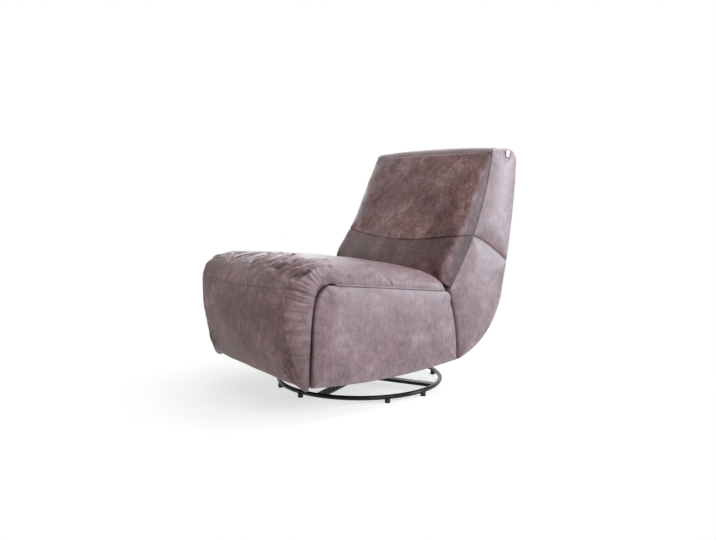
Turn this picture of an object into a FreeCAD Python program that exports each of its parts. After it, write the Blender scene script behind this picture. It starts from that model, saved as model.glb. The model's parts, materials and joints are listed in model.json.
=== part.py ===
"""Armless power recliner on a swivelling floor ring, as an assembly of separate pieces.

Millimetres. +Z is up, the sitter faces -Y and has +X on the left hand.
The origin is on the floor, on the swivel axis, in the middle of the plan.
"""
import FreeCAD, Part
import math
import os

Vec = FreeCAD.Vector

# Floor ring and its feet
RING_RADIUS = 310.0  # centreline of the tube
RING_TUBE_RADIUS = 8.0
FOOT_HEIGHT = 12.0  # floor to the underside of the ring
FOOT_RADIUS = 9.5
FOOT_SADDLE = 3.0  # how far a foot reaches up round the tube
FOOT_ANGLES = (-16.0, -45.0)  # degrees from each spoke
SPOKE_COUNT = 4
SPOKE_ANGLE = 28.0  # degrees from +X, as the ring stands in use
SPOKE_WIDTH = 34.0
SPOKE_HEIGHT = 12.0
SPOKE_EDGE = 3.0  # rounding of the bars

# Swivel
HUB_RADIUS = 68.0
HUB_THICKNESS = 8.0
SPINDLE_RADIUS = 17.5
SPINDLE_TIP_GAP = 5.0  # spindle tip to the swivel plate
SPINDLE_CHAMFER = 2.0
RUN_CLEARANCE = 0.05  # radial, round every turning shaft
BUSH_WALL = 3.5
SWIVEL_TUBE_WALL = 6.0
WASHER_THICKNESS = 4.0
WASHER_RADIUS = 34.0
PLATE_WIDTH = 220.0  # swivel plate, across X
PLATE_THICKNESS = 6.0
PLATE_MARGIN = 8.0  # plate past the outer edge of the members that it carries
PLATE_BOLT_SPACING = 170.0  # across X
BOLT_RADIUS = 4.0
BOLT_HEAD_RADIUS = 7.5
BOLT_HEAD_HEIGHT = 5.0
BOLT_HOLE_CLEARANCE = 0.3

# Chassis between the two side boards
CHASSIS_Z = 122.0  # underside of the cross members
MEMBER_DEPTH = 40.0  # along Y
MEMBER_HEIGHT = 30.0
MEMBER_WALL = 2.5
MEMBER_EDGE = 3.0
MEMBER_FRONT_Y = -285.0
MEMBER_MIDDLE_Y = -85.0
MEMBER_REAR_Y = 85.0

# Widths, from the outer faces inwards
BODY_WIDTH = 724.0  # over the sides of the back
SIDE_PAD_STEP = 2.0  # side pads stand this far inside the sides of the back
SIDE_PAD_THICKNESS = 58.0
BOARD_THICKNESS = 18.0
SIDE_CLEARANCE = 4.0  # side boards to the sides of the back

# Outline of an upholstered side, as (Y, Z)
SIDE_FRONT_Y = -424.0
SIDE_BOTTOM_Z = 102.0
SIDE_BOTTOM_FRONT_RISE = 12.0  # the bottom edge lifts at its front end
NOTCH_Z = 388.0  # where the front edge starts to slope back
SEAM_FRONT_Y = -374.0
SEAM_FRONT_Z = 439.0
SEAM_REAR_Y = 132.0
SEAM_REAR_Z = 380.0
GAP_MID_Y = 168.0  # the joint between side and back, half way down
GAP_MID_Z = 270.0
GAP_FOOT_Y = 181.0
GAP_FOOT_Z = 124.0
GAP_WIDTH = 5.0  # side to back
SOFT_STEPS = 6  # slices from the middle of a padded width to its edge
SIDE_EDGE = 20.0  # rounding of the padded edges
BOARD_INSET = 12.0  # side board inside the padded outline

# Recline
PIVOT_Y = 184.0
PIVOT_Z = 134.0
RECLINE_MAX = 25.0  # degrees
PIVOT_PIN_RADIUS = 8.0
PIVOT_HEAD_RADIUS = 13.0
PIVOT_HEAD_THICKNESS = 5.0
PIVOT_BUSH_WALL = 3.0
PIVOT_BOSS_RADIUS = 22.0
BRACKET_THICKNESS = 4.0
BRACKET_SIZE = 76.0  # along Y
BRACKET_HEIGHT = 60.0  # above the pivot
BRACKET_CORNER = 10.0
ARM_THICKNESS = 8.0
ARM_GAP = 4.0  # bracket to arm
SWEEP_MARGIN = 4.0  # degrees of side board past the recline

# Back, outline of its side as (Y, Z)
BACK_HEIGHT = 888.0
TOP_FRONT_Y = 349.0
TOP_REAR_Y = 440.0
TOP_CORNER_Y = 468.0  # a point on the rounded top rear corner
TOP_CORNER_DROP = 13.0  # that point below the top
BACK_MID_Y = 264.0  # front seam, at the waist
WAIST_SHARE = 0.433  # height of the waist, as a share of the way from seat to top
HULL_MID_Y = 334.0
HULL_MID_Z = 213.0
HULL_END_Y = 416.0
HULL_END_Z = 385.0
REAR_MID_Y = 459.0  # rear, at the waist
REAR_TOP_Y = 483.0
REAR_TOP_DROP = 48.0  # upper end of the rear below the top
BACK_SIDE_EDGE = 20.0
BACK_TAPER = 16.0  # each side leans in by this much from its foot to the top
LUMBAR_SHARE = 0.376  # height of the lumbar seam, as a share of the way from seat to top
PAD_EDGE = 14.0  # pad thickness at its side seam
PAD_FOOT_CROWN = 92.0  # pad thickness in the middle, at its foot
PAD_CROWN = 68.0  # the same at the lumbar seam
PAD_TOP_CROWN = 20.0
PAD_BOXINESS = 6.0  # how square the front of a pad turns to its sides
PAD_BELLY = 8.0  # the front of a pad bows out by this much half way up
PAD_FOOT_RISE = 65.0  # the foot of the lower pad is cut up to the front by this much in the middle
PAD_FOOT_EDGE_RISE = 15.0  # and by this much at its sides
PAD_TOP_DROP = 12.0  # ends of the upper pad below the top of the back
PAD_TOP_RISE = 7.0  # the middle of the top edge stands higher than its ends
SEAM_CLEARANCE = 0.3  # between pieces that are sewn or stapled together
REAR_PANEL_THICKNESS = 28.0
REAR_PANEL_END = 0.76  # share of the hull arc that the rear panel covers
REAR_CROWN = 28.0  # the rear panel swells by this much in the middle
REAR_QUARTER_SHARE = 0.75  # of that swell, half way to the sides
TOP_SWELL_SHARE = 0.1  # of that swell, along the top
ARM_TIP_RADIUS = 20.0
ARM_KNEE_Y = 275.0
ARM_KNEE_Z = 330.0
ARM_WAIST_Y = 328.0
ARM_TIP_Y = 372.0
ARM_TIP_DROP = 73.0  # tip of an arm below the top
FRAME_TUBE_RADIUS = 11.0
LOWER_TUBE_SHARE = 0.53  # place of the lowest tube, as a share of the way from pivot to knee
SPACER_RADIUS = 9.0  # spacers between the arms and the sides of the back
WEB_COUNT = 5
WEB_WIDTH = 46.0
WEB_THICKNESS = 2.5
WEB_FOOT_Z = 440.0
WEB_TOP_DROP = 27.0  # middle of the top web below the tip of the arms

# Seat
SEAT_HALF_STEP = 4.0  # seat edge inside the outer face of the side pads
SEAT_CROWN = 74.0  # above the line of the side seams
SEAT_REAR_CROWN = 62.0
SEAT_SHOULDER = 75.0  # width of the rounded edge of the seat
SEAT_SHOULDER_RISE = 62.0
SHOULDER_IN = 17.0  # the roll of the seat's edge passes this far inside the edge
SHOULDER_SHARE = 0.72  # at this share of its rise
SEAT_DEPTH_BELOW = 52.0  # seat cushion below the line of the side seams
SEAT_BACK_GAP = 9.0  # seat to back pad
SEAT_REAR_SETBACK = 14.0  # rear of the seat in front of the rear end of the side seam
TAIL_LENGTH = 120.0  # padded tail under the back, behind the pivot axis
TAIL_THICKNESS = 30.0
TAIL_SIDE_GAP = 34.0  # tail inside the side boards, clear of the back's arms
RAIL_DEPTH = 30.0
RAIL_HEIGHT = 40.0
RAIL_FRONT_SETBACK = 66.0  # front rail behind the footrest axis, clear of its crank
RAIL_REAR_Y = 74.0
SPRING_COUNT = 5
SPRING_SPACING = 104.0
SPRING_WIRE_RADIUS = 1.9
SPRING_BEND_RADIUS = 12.0
SPRING_HALF_WIDTH = 24.0
SPRING_SINK = 5.0  # top of the springs below the cushion
CLIP_WIDTH = 16.0
CLIP_WALL = 3.0

# Footrest flap that hangs in front of the sides
AXIS_SETBACK = 72.0  # hinge axis behind the front edge of the sides
AXIS_DROP = 77.0  # hinge axis below the front end of the side seam
FOOTREST_MAX = 85.0  # degrees
FLAP_GAP = 4.0  # sides to flap
FLAP_BOTTOM_Z = 117.0
FLAP_TOP_DROP = 24.0  # top of the flap below the hinge axis
FLAP_HALF_STEP = 8.0  # flap edge inside the outer face of the side pads
FLAP_TAPER = 16.0  # the flap is this much narrower on each side at its foot
FLAP_EDGE = 62.0  # thickness of the padded edge
FLAP_CROWN = 78.0  # thickness in the middle
FLAP_SHOULDER = 60.0
FLAP_FOOT_THIN = 34.0  # the foot of the flap is thinner
FLAP_MID_THIN = 12.0  # and its middle a little
FLAP_EDGE_IN = 13.0  # the rounded edge of the flap passes this far inside its side
FLAP_EDGE_SHARE = 0.78  # at this share of the edge's thickness
ROLL_BOXINESS = 5.0  # how square the top of the front roll turns down at its ends
ROLL_EDGE_POWER = 12  # how late those ends draw in
ROLL_END_SHARE = 0.25  # thickness left there, as a share of the crown
ROLL_FULLNESS = 0.78  # how far the roll swells towards its square corner
FLAP_BOARD_THICKNESS = 14.0
FLAP_BOARD_MARGIN = 22.0
AXLE_TUBE_RADIUS = 12.5
STUB_RADIUS = 9.0
STUB_END_GAP = 1.0  # stub to the side pad
FLANGE_THICKNESS = 3.0
FLANGE_LIP = 4.0
HINGE_ARM_X = 236.0
HINGE_ARM_THICKNESS = 6.0
HINGE_ARM_RADIUS = 19.0
HINGE_STRAP_LENGTH = 120.0
HINGE_STRAP_WIDTH = 32.0

# Linear actuators: one for the back, one for the footrest
ACTUATOR_X = 110.0  # recline on the left, footrest on the right
RECLINE_CRANK = 120.0
FOOTREST_CRANK = 70.0
CRANK_THICKNESS = 8.0
CRANK_RADIUS = 13.0
CRANK_PIN_RADIUS = 5.0
CRANK_PIN_PLAY = 2.4  # open pivot: play across the slot
FORK_EAR = 7.0
FORK_GAP = 1.5
FORK_WALL = 7.0
FORK_ROOT = 32.0  # crank pin to the root of the fork
ROD_RADIUS = 9.0
SLEEVE_RADIUS = 17.0
SLEEVE_SPARE = 26.0  # sleeve mouth to the fork at rest
SLEEVE_LENGTH = 210.0
ROD_TAIL = 60.0  # rod left in the sleeve at full stroke
GEARBOX_LENGTH = 46.0
GEARBOX_SIZE = 50.0
GEARBOX_EDGE = 8.0
MOTOR_RADIUS = 21.0
MOTOR_LENGTH = 78.0
MOTOR_CAP = 6.0
LUG_RADIUS = 12.0
LUG_LENGTH = 26.0
LUG_THICKNESS = 14.0
LUG_TAPER = 1.0  # the lug narrows towards its pin
EAR_ROOT = 2.0  # ears of the clevis are this much wider at their foot
CLEVIS_PIN_RADIUS = 5.0
CLEVIS_EAR = 4.0
CLEVIS_FOOT = 5.0
CLEVIS_HEAD = 2.0  # head of the clevis pin, past its shank and along it

# Control box, inlet and the push buttons on the right-hand side
BOX_WIDTH = 78.0
BOX_HEIGHT = 34.0
BOX_EDGE = 6.0
BOX_SIDE_GAP = 40.0  # control box to the left side board
INLET_RADIUS = 8.0
INLET_BORE = 3.0
INLET_LENGTH = 14.0
INLET_FLOOR = 3.0
SWITCH_Y = -70.0
SWITCH_Z = 318.0
SWITCH_LENGTH = 118.0
SWITCH_HEIGHT = 30.0
SWITCH_DEPTH = 16.0
SWITCH_PROUD = 1.4
SWITCH_CORNER = 13.8
BUTTON_COUNT = 4
BUTTON_PITCH = 25.0
BUTTON_RADIUS = 8.5
BUTTON_CLEARANCE = 0.3
BUTTON_TRAVEL = 1.5
BUTTON_STEM = 5.0

# Zip pull at the top of the left side of the back
ZIP_Y = 424.0
ZIP_DROP = 10.0  # below the top edge
ZIP_TAB_LENGTH = 22.0
ZIP_TAB_WIDTH = 9.0
ZIP_TAB_THICKNESS = 2.2
ZIP_BODY_LENGTH = 11.0
ZIP_BODY_WIDTH = 8.0

# Places worked out from the sizes above
ring_z = FOOT_HEIGHT + RING_TUBE_RADIUS
hub_z = ring_z + SPOKE_HEIGHT / 2
hub_top = hub_z + HUB_THICKNESS
plate_z = CHASSIS_Z - PLATE_THICKNESS
member_top = CHASSIS_Z + MEMBER_HEIGHT
bush_inner = SPINDLE_RADIUS + RUN_CLEARANCE
bush_outer = bush_inner + BUSH_WALL
half_body = BODY_WIDTH / 2
pad_out = half_body - SIDE_PAD_STEP
board_out = pad_out - SIDE_PAD_THICKNESS
board_in = board_out - BOARD_THICKNESS
wing_in = board_out + SIDE_CLEARANCE
arm_out = board_in - BRACKET_THICKNESS - ARM_GAP
arm_in = arm_out - ARM_THICKNESS
axis_y = SIDE_FRONT_Y + AXIS_SETBACK
axis_z = SEAM_FRONT_Z - AXIS_DROP
flap_back_y = SIDE_FRONT_Y - FLAP_GAP
flap_top_z = axis_z - FLAP_TOP_DROP
flap_half = pad_out - FLAP_HALF_STEP
seat_half = pad_out - SEAT_HALF_STEP
board_rear = (SEAM_REAR_Y - BOARD_INSET, SEAM_REAR_Z - BOARD_INSET)
sweep_radius = math.hypot(board_rear[0] - PIVOT_Y, board_rear[1] - PIVOT_Z)
pad_sweep = sweep_radius + SIDE_CLEARANCE
hull_foot_y = GAP_FOOT_Y + GAP_WIDTH
back_rise = BACK_HEIGHT - SEAM_REAR_Z
waist_z = SEAM_REAR_Z + WAIST_SHARE * back_rise
lumbar_seam_z = SEAM_REAR_Z + LUMBAR_SHARE * back_rise
pad_foot_z = SEAM_REAR_Z + GAP_WIDTH
seat_rear_y = SEAM_REAR_Y - SEAT_REAR_SETBACK
top_corner = (TOP_CORNER_Y, BACK_HEIGHT - TOP_CORNER_DROP)
rear_top_z = BACK_HEIGHT - REAR_TOP_DROP
arm_tip_z = BACK_HEIGHT - ARM_TIP_DROP
web_pitch = (arm_tip_z - WEB_TOP_DROP - WEB_FOOT_Z) / (WEB_COUNT - 1)
box_x = board_in - BOX_SIDE_GAP - BOX_WIDTH / 2
half_recline = math.radians(RECLINE_MAX / 2)
half_lift = math.radians(FOOTREST_MAX / 2)
recline_pin = (PIVOT_Y - RECLINE_CRANK * math.sin(half_recline),
               PIVOT_Z + RECLINE_CRANK * math.cos(half_recline))
footrest_pin = (axis_y + FOOTREST_CRANK * math.sin(half_lift),
                axis_z - FOOTREST_CRANK * math.cos(half_lift))
recline_stroke = 2 * RECLINE_CRANK * math.sin(half_recline)
footrest_stroke = 2 * FOOTREST_CRANK * math.sin(half_lift)


# Small tools for outlines and solids
def point(x, yz):
    return Vec(x, yz[0], yz[1])


def side_wire(start, steps, x):
    """Closed wire in the plane X = x. A step is an end (y, z), or (via, end) for an arc."""
    edges = []
    here = start
    for step in steps:
        if isinstance(step[0], tuple):
            via, end = step
            edges.append(Part.Arc(point(x, here), point(x, via), point(x, end)).toShape())
        else:
            end = step
            edges.append(Part.LineSegment(point(x, here), point(x, end)).toShape())
        here = end
    return Part.Wire(edges)


def side_prism(start, steps, x0, x1):
    """Solid between X = x0 and X = x1 with one outline all through."""
    return Part.Face(side_wire(start, steps, x0)).extrude(Vec(x1 - x0, 0, 0))


def mirrored(shape):
    return shape.mirror(Vec(0, 0, 0), Vec(1, 0, 0))


def x_cylinder(radius, x0, x1, yz):
    return Part.makeCylinder(radius, x1 - x0, point(x0, yz), Vec(1, 0, 0))


def box(x0, x1, y0, y1, z0, z1):
    return Part.makeBox(x1 - x0, y1 - y0, z1 - z0, Vec(x0, y0, z0))


def rounded_box(x0, x1, y0, y1, z0, z1, radius, along):
    """Box whose four edges along one axis are rounded."""
    solid = box(x0, x1, y0, y1, z0, z1)
    edges = [e for e in solid.Edges if abs(e.tangentAt(e.FirstParameter).dot(along)) > 0.99]
    return solid.makeFillet(radius, edges)


def ring(inner, outer, z0, z1):
    low = Vec(0, 0, z0)
    return Part.makeCylinder(outer, z1 - z0, low).cut(Part.makeCylinder(inner, z1 - z0, low))


def link(p, q, p_radius, q_radius, x0, x1):
    """Flat link from p to q with round ends, between X = x0 and X = x1."""
    length = math.hypot(q[0] - p[0], q[1] - p[1])
    lean = math.atan2(q[1] - p[1], q[0] - p[0])
    tilt = math.acos((p_radius - q_radius) / length)

    def rim(centre, radius, angle):
        return (centre[0] + radius * math.cos(angle), centre[1] + radius * math.sin(angle))

    steps = [rim(q, q_radius, lean - tilt), (rim(q, q_radius, lean), rim(q, q_radius, lean + tilt)),
             rim(p, p_radius, lean + tilt),
             (rim(p, p_radius, lean + math.pi), rim(p, p_radius, lean - tilt))]
    return side_prism(rim(p, p_radius, lean - tilt), steps, x0, x1)


def outer_edges(shape, x):
    """Edges that lie in the plane X = x."""
    return [e for e in shape.Edges if all(abs(v.X - x) < 1e-6 for v in e.Vertexes)
            and abs(e.CenterOfMass.x - x) < 1e-6]


def arc_centre(p, q, r):
    """Centre and radius of the circle through three (y, z) points."""
    (ax, ay), (bx, by), (cx, cy) = p, q, r
    d = 2 * (ax * (by - cy) + bx * (cy - ay) + cx * (ay - by))
    a2, b2, c2 = ax * ax + ay * ay, bx * bx + by * by, cx * cx + cy * cy
    uy = (a2 * (by - cy) + b2 * (cy - ay) + c2 * (ay - by)) / d
    uz = (a2 * (cx - bx) + b2 * (ax - cx) + c2 * (bx - ax)) / d
    return uy, uz, math.hypot(ax - uy, ay - uz)


def seam_y(z):
    """Y of the seam between the front and the side of the back, at height z."""
    uy, uz, radius = arc_centre((SEAM_REAR_Y + GAP_WIDTH, SEAM_REAR_Z), (BACK_MID_Y, waist_z),
                                (TOP_FRONT_Y, BACK_HEIGHT))
    return uy + math.sqrt(radius * radius - (z - uz) ** 2)


def seam_z(y):
    """Z of the seam between seat and side, at depth y."""
    slope = (SEAM_REAR_Z - SEAM_FRONT_Z) / (SEAM_REAR_Y - SEAM_FRONT_Y)
    return SEAM_FRONT_Z + slope * (y - SEAM_FRONT_Y)


# Base: floor ring, bars, hub and feet
def base_ring():
    return Part.makeTorus(RING_RADIUS, RING_TUBE_RADIUS, Vec(0, 0, ring_z))


def base_cross():
    bars = []
    for k in range(SPOKE_COUNT // 2):
        bar = rounded_box(-RING_RADIUS, RING_RADIUS, -SPOKE_WIDTH / 2, SPOKE_WIDTH / 2,
                          ring_z - SPOKE_HEIGHT / 2, hub_z, SPOKE_EDGE, Vec(1, 0, 0))
        bar.rotate(Vec(0, 0, 0), Vec(0, 0, 1), SPOKE_ANGLE + k * 360.0 / SPOKE_COUNT)
        bars.append(bar)
    return bars[0].fuse(bars[1:]).removeSplitter().cut(base_ring())


def base_hub():
    tip = plate_z - SPINDLE_TIP_GAP
    steps = [(HUB_RADIUS, hub_z), (HUB_RADIUS, hub_top), (SPINDLE_RADIUS, hub_top),
             (SPINDLE_RADIUS, tip - SPINDLE_CHAMFER), (SPINDLE_RADIUS - SPINDLE_CHAMFER, tip), (0.0, tip),
             (0.0, hub_z)]
    return Part.Face(side_wire((0.0, hub_z), steps, 0.0)).revolve(Vec(0, 0, 0), Vec(0, 0, 1), 360)


def base_feet():
    tube = base_ring()
    feet = []
    for k in range(SPOKE_COUNT):
        for offset in FOOT_ANGLES:
            angle = math.radians(SPOKE_ANGLE + k * 360.0 / SPOKE_COUNT + offset)
            place = Vec(RING_RADIUS * math.cos(angle), RING_RADIUS * math.sin(angle), 0)
            feet.append(Part.makeCylinder(FOOT_RADIUS, FOOT_HEIGHT + FOOT_SADDLE, place).cut(tube))
    return Part.makeCompound(feet)


# Swivel between the base and the chassis
def swivel_washer():
    return ring(bush_inner, WASHER_RADIUS, hub_top, hub_top + WASHER_THICKNESS)


def swivel_bush():
    return ring(bush_inner, bush_outer, hub_top + WASHER_THICKNESS, plate_z)


def plate_bolt_places():
    return [(x, y) for x in (-PLATE_BOLT_SPACING / 2, PLATE_BOLT_SPACING / 2)
            for y in (MEMBER_MIDDLE_Y, MEMBER_REAR_Y)]


def bolt_holes(z0, z1):
    return [Part.makeCylinder(BOLT_RADIUS + BOLT_HOLE_CLEARANCE, z1 - z0, Vec(x, y, z0))
            for x, y in plate_bolt_places()]


def swivel_plate():
    reach = MEMBER_DEPTH / 2 + PLATE_MARGIN
    plate = rounded_box(-PLATE_WIDTH / 2, PLATE_WIDTH / 2, MEMBER_MIDDLE_Y - reach, MEMBER_REAR_Y + reach,
                        plate_z, CHASSIS_Z, 2 * PLATE_MARGIN, Vec(0, 0, 1))
    tube = ring(bush_outer, bush_outer + SWIVEL_TUBE_WALL, hub_top + WASHER_THICKNESS, plate_z)
    return plate.cut(bolt_holes(plate_z, CHASSIS_Z)).fuse(tube)


def swivel_bolts():
    bolts = []
    for x, y in plate_bolt_places():
        head = Part.makeCylinder(BOLT_HEAD_RADIUS, BOLT_HEAD_HEIGHT, Vec(x, y, plate_z - BOLT_HEAD_HEIGHT))
        shank = Part.makeCylinder(BOLT_RADIUS, PLATE_THICKNESS + 3 * MEMBER_WALL, Vec(x, y, plate_z))
        bolts.append(head.fuse(shank))
    return Part.makeCompound(bolts)


def cross_member(y):
    half = MEMBER_DEPTH / 2
    tube = rounded_box(-board_in, board_in, y - half, y + half, CHASSIS_Z, member_top, MEMBER_EDGE,
                       Vec(1, 0, 0))
    hollow = box(-board_in, board_in, y - half + MEMBER_WALL, y + half - MEMBER_WALL,
                 CHASSIS_Z + MEMBER_WALL, member_top - MEMBER_WALL)
    return tube.cut(hollow).cut(bolt_holes(CHASSIS_Z, CHASSIS_Z + MEMBER_WALL))


# Sides: plywood board inside, padded cover outside
def side_outline(inset=0.0):
    """Start and steps of the padded side, drawn in by inset."""
    i = inset
    bottom = SIDE_BOTTOM_Z + i
    start = (SIDE_FRONT_Y + i, bottom + SIDE_BOTTOM_FRONT_RISE)
    steps = [(SIDE_FRONT_Y + i, NOTCH_Z), (SEAM_FRONT_Y, SEAM_FRONT_Z - i),
             (SEAM_REAR_Y - i, SEAM_REAR_Z - i),
             ((GAP_MID_Y - i, GAP_MID_Z), (GAP_FOOT_Y - i, GAP_FOOT_Z + i)),
             (((GAP_FOOT_Y + SIDE_FRONT_Y) / 2, bottom), start)]
    return start, steps


def side_pad():
    start, steps = side_outline()
    pad = side_prism(start, steps, board_out, pad_out)
    return pad.makeFillet(SIDE_EDGE, outer_edges(pad, pad_out))


def sweep_point(radius, degrees):
    """Point at that radius from the recline pivot, degrees back from straight up."""
    a = math.radians(degrees)
    return (PIVOT_Y + radius * math.sin(a), PIVOT_Z + radius * math.cos(a))


def side_board():
    """Plywood side. Its rear sector stays inside the back and closes the joint when the back reclines."""
    i = BOARD_INSET
    first = math.degrees(math.atan2(board_rear[0] - PIVOT_Y, board_rear[1] - PIVOT_Z))
    last = first + RECLINE_MAX + SWEEP_MARGIN
    heel = (PIVOT_Y + PIVOT_BOSS_RADIUS, PIVOT_Z)
    toe = (PIVOT_Y, GAP_FOOT_Z)
    start = (SIDE_FRONT_Y + i, SIDE_BOTTOM_Z + SIDE_BOTTOM_FRONT_RISE + i)
    steps = [(SIDE_FRONT_Y + i, NOTCH_Z), (SEAM_FRONT_Y, SEAM_FRONT_Z - i), board_rear,
             (sweep_point(sweep_radius, (first + last) / 2), sweep_point(sweep_radius, last)), heel, toe,
             (((toe[0] + SIDE_FRONT_Y) / 2, SIDE_BOTTOM_Z + i), start)]
    board = side_prism(start, steps, board_in, board_out)
    holes = [x_cylinder(PIVOT_PIN_RADIUS, board_in, board_out, (PIVOT_Y, PIVOT_Z)),
             x_cylinder(STUB_RADIUS + RUN_CLEARANCE + BUSH_WALL, board_in, board_out, (axis_y, axis_z))]
    return board.cut(holes)


# Recline pivots
def recline_bracket():
    rear = PIVOT_Y + PIVOT_BOSS_RADIUS
    plate = rounded_box(board_in - BRACKET_THICKNESS, board_in, rear - BRACKET_SIZE, rear, PIVOT_Z,
                        PIVOT_Z + BRACKET_HEIGHT, BRACKET_CORNER, Vec(1, 0, 0))
    boss = x_cylinder(PIVOT_BOSS_RADIUS, board_in - BRACKET_THICKNESS, board_in, (PIVOT_Y, PIVOT_Z))
    return plate.fuse(boss).removeSplitter().cut(
        x_cylinder(PIVOT_PIN_RADIUS, board_in - BRACKET_THICKNESS, board_in, (PIVOT_Y, PIVOT_Z)))


def recline_pivot_pin():
    inner = arm_in - RUN_CLEARANCE
    shank = x_cylinder(PIVOT_PIN_RADIUS, inner, board_out, (PIVOT_Y, PIVOT_Z))
    return shank.fuse(x_cylinder(PIVOT_HEAD_RADIUS, inner - PIVOT_HEAD_THICKNESS, inner, (PIVOT_Y, PIVOT_Z)))


def recline_bush():
    bore = PIVOT_PIN_RADIUS + RUN_CLEARANCE
    pivot = (PIVOT_Y, PIVOT_Z)
    sleeve = x_cylinder(bore + PIVOT_BUSH_WALL, arm_in, arm_out, pivot)
    return sleeve.cut(x_cylinder(bore, arm_in, arm_out, pivot))


# Back: steel frame, webbing, pads, sides and rear panel
def lower_tube_place():
    share = LOWER_TUBE_SHARE
    return (PIVOT_Y + share * (ARM_KNEE_Y - PIVOT_Y), PIVOT_Z + share * (ARM_KNEE_Z - PIVOT_Z))


def back_frame():
    """Two arms joined by three tubes, with the crank that the recline rod pushes."""
    pivot, knee, waist, tip = ((PIVOT_Y, PIVOT_Z), (ARM_KNEE_Y, ARM_KNEE_Z), (ARM_WAIST_Y, waist_z),
                               (ARM_TIP_Y, arm_tip_z))
    bore = PIVOT_PIN_RADIUS + RUN_CLEARANCE + PIVOT_BUSH_WALL
    arm = link(pivot, knee, PIVOT_BOSS_RADIUS, ARM_TIP_RADIUS, arm_in, arm_out)
    arm = arm.fuse([link(knee, waist, ARM_TIP_RADIUS, ARM_TIP_RADIUS, arm_in, arm_out),
                    link(waist, tip, ARM_TIP_RADIUS, ARM_TIP_RADIUS, arm_in, arm_out)])
    arm = arm.removeSplitter().cut(x_cylinder(bore, arm_in, arm_out, pivot))
    tubes = [x_cylinder(FRAME_TUBE_RADIUS, -arm_in, arm_in, place)
             for place in (lower_tube_place(), waist, tip)]
    half = CRANK_THICKNESS / 2
    crank = link(lower_tube_place(), recline_pin, CRANK_RADIUS + FORK_GAP, CRANK_RADIUS, ACTUATOR_X - half,
                 ACTUATOR_X + half)
    reach = half + FORK_GAP + FORK_EAR
    pin = x_cylinder(CRANK_PIN_RADIUS, ACTUATOR_X - reach, ACTUATOR_X + reach, recline_pin)
    return arm.fuse([mirrored(arm)] + tubes + [crank, pin])


def back_spacers():
    """Spacers that carry the sides of the back on the arms of the frame."""
    left = [x_cylinder(SPACER_RADIUS, arm_out, wing_in, place)
            for place in ((ARM_WAIST_Y, waist_z), (ARM_TIP_Y, arm_tip_z))]
    return Part.makeCompound(left + [mirrored(spacer) for spacer in left])


def web_y(z):
    """Front of the frame arms between knee, waist and tip, where a web lies."""
    if z < waist_z:
        low, high = (ARM_KNEE_Y, ARM_KNEE_Z), (ARM_WAIST_Y, waist_z)
    else:
        low, high = (ARM_WAIST_Y, waist_z), (ARM_TIP_Y, arm_tip_z)
    lean = math.atan2(high[0] - low[0], high[1] - low[1])
    middle = low[0] + (high[0] - low[0]) * (z - low[1]) / (high[1] - low[1])
    return middle - ARM_TIP_RADIUS / math.cos(lean), lean


def back_webbing():
    """Elastic straps stretched across the front of the two arms."""
    straps = []
    for k in range(WEB_COUNT):
        z = WEB_FOOT_Z + k * web_pitch
        y, lean = web_y(z)
        strap = box(-arm_out, arm_out, -WEB_THICKNESS, 0, -WEB_WIDTH / 2, WEB_WIDTH / 2)
        strap.rotate(Vec(0, 0, 0), Vec(1, 0, 0), -math.degrees(lean))
        strap.translate(Vec(0, y, z))
        straps.append(strap)
    return Part.makeCompound(straps)


def back_half_width(z):
    """Half width of the back at height z: its sides lean in from the foot to the top."""
    return half_body - BACK_TAPER * (z - GAP_FOOT_Z) / (BACK_HEIGHT - GAP_FOOT_Z)


def pad_section(x, z0, z1, thick0, thick1, foot, rise):
    """One slice of a back pad: its rear follows the side seam, its front stands forward of that.

    The front of its lower edge is lifted by foot and its upper edge by rise.
    """
    top = z1 + rise
    middle = (z0 + foot + top) / 2

    def at(z, thick):
        return (seam_y(z) - thick, z)

    start = at(z0 + foot, thick0)
    steps = [(at(middle, (thick0 + thick1) / 2 + PAD_BELLY), at(top, thick1)), at(top, SEAM_CLEARANCE),
             (at((z0 + top) / 2, SEAM_CLEARANCE), at(z0, SEAM_CLEARANCE)), start]
    return side_wire(start, steps, x)


def part_way(low, high, share):
    return low + share * (high - low)


def soft_stations(half, boxiness):
    """Stations across a padded width, each with the share of the full swell that it has."""
    near = []
    for k in range(SOFT_STEPS + 1):
        turn = math.pi / 2 * k / SOFT_STEPS
        near.append((half * math.sin(turn) ** (2 / boxiness), math.cos(turn) ** (2 / boxiness)))
    return [(-x, share) for x, share in reversed(near[1:])] + near


def back_pad(z0, z1, crown0, crown1, feet, rise=0.0):
    """Padded front of the back between two heights, thin at its side seams and full in the middle."""
    edge = min(back_half_width(z0), back_half_width(z1)) - SIDE_PAD_STEP
    slices = [pad_section(x, z0, z1, part_way(PAD_EDGE, crown0, share), part_way(PAD_EDGE, crown1, share),
                          part_way(feet[0], feet[1], share), rise * share)
              for x, share in soft_stations(edge, PAD_BOXINESS)]
    return Part.makeLoft(slices, True)


def back_pad_lower():
    pad = back_pad(pad_foot_z, lumbar_seam_z - SEAM_CLEARANCE, PAD_FOOT_CROWN, PAD_CROWN,
                   (PAD_FOOT_EDGE_RISE, PAD_FOOT_RISE))
    return pad.cut(x_cylinder(pad_sweep, -half_body, half_body, (PIVOT_Y, PIVOT_Z)))


def back_pad_upper():
    return back_pad(lumbar_seam_z, BACK_HEIGHT - PAD_TOP_DROP - PAD_TOP_RISE, PAD_CROWN, PAD_TOP_CROWN,
                    (0.0, 0.0), PAD_TOP_RISE)


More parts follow.
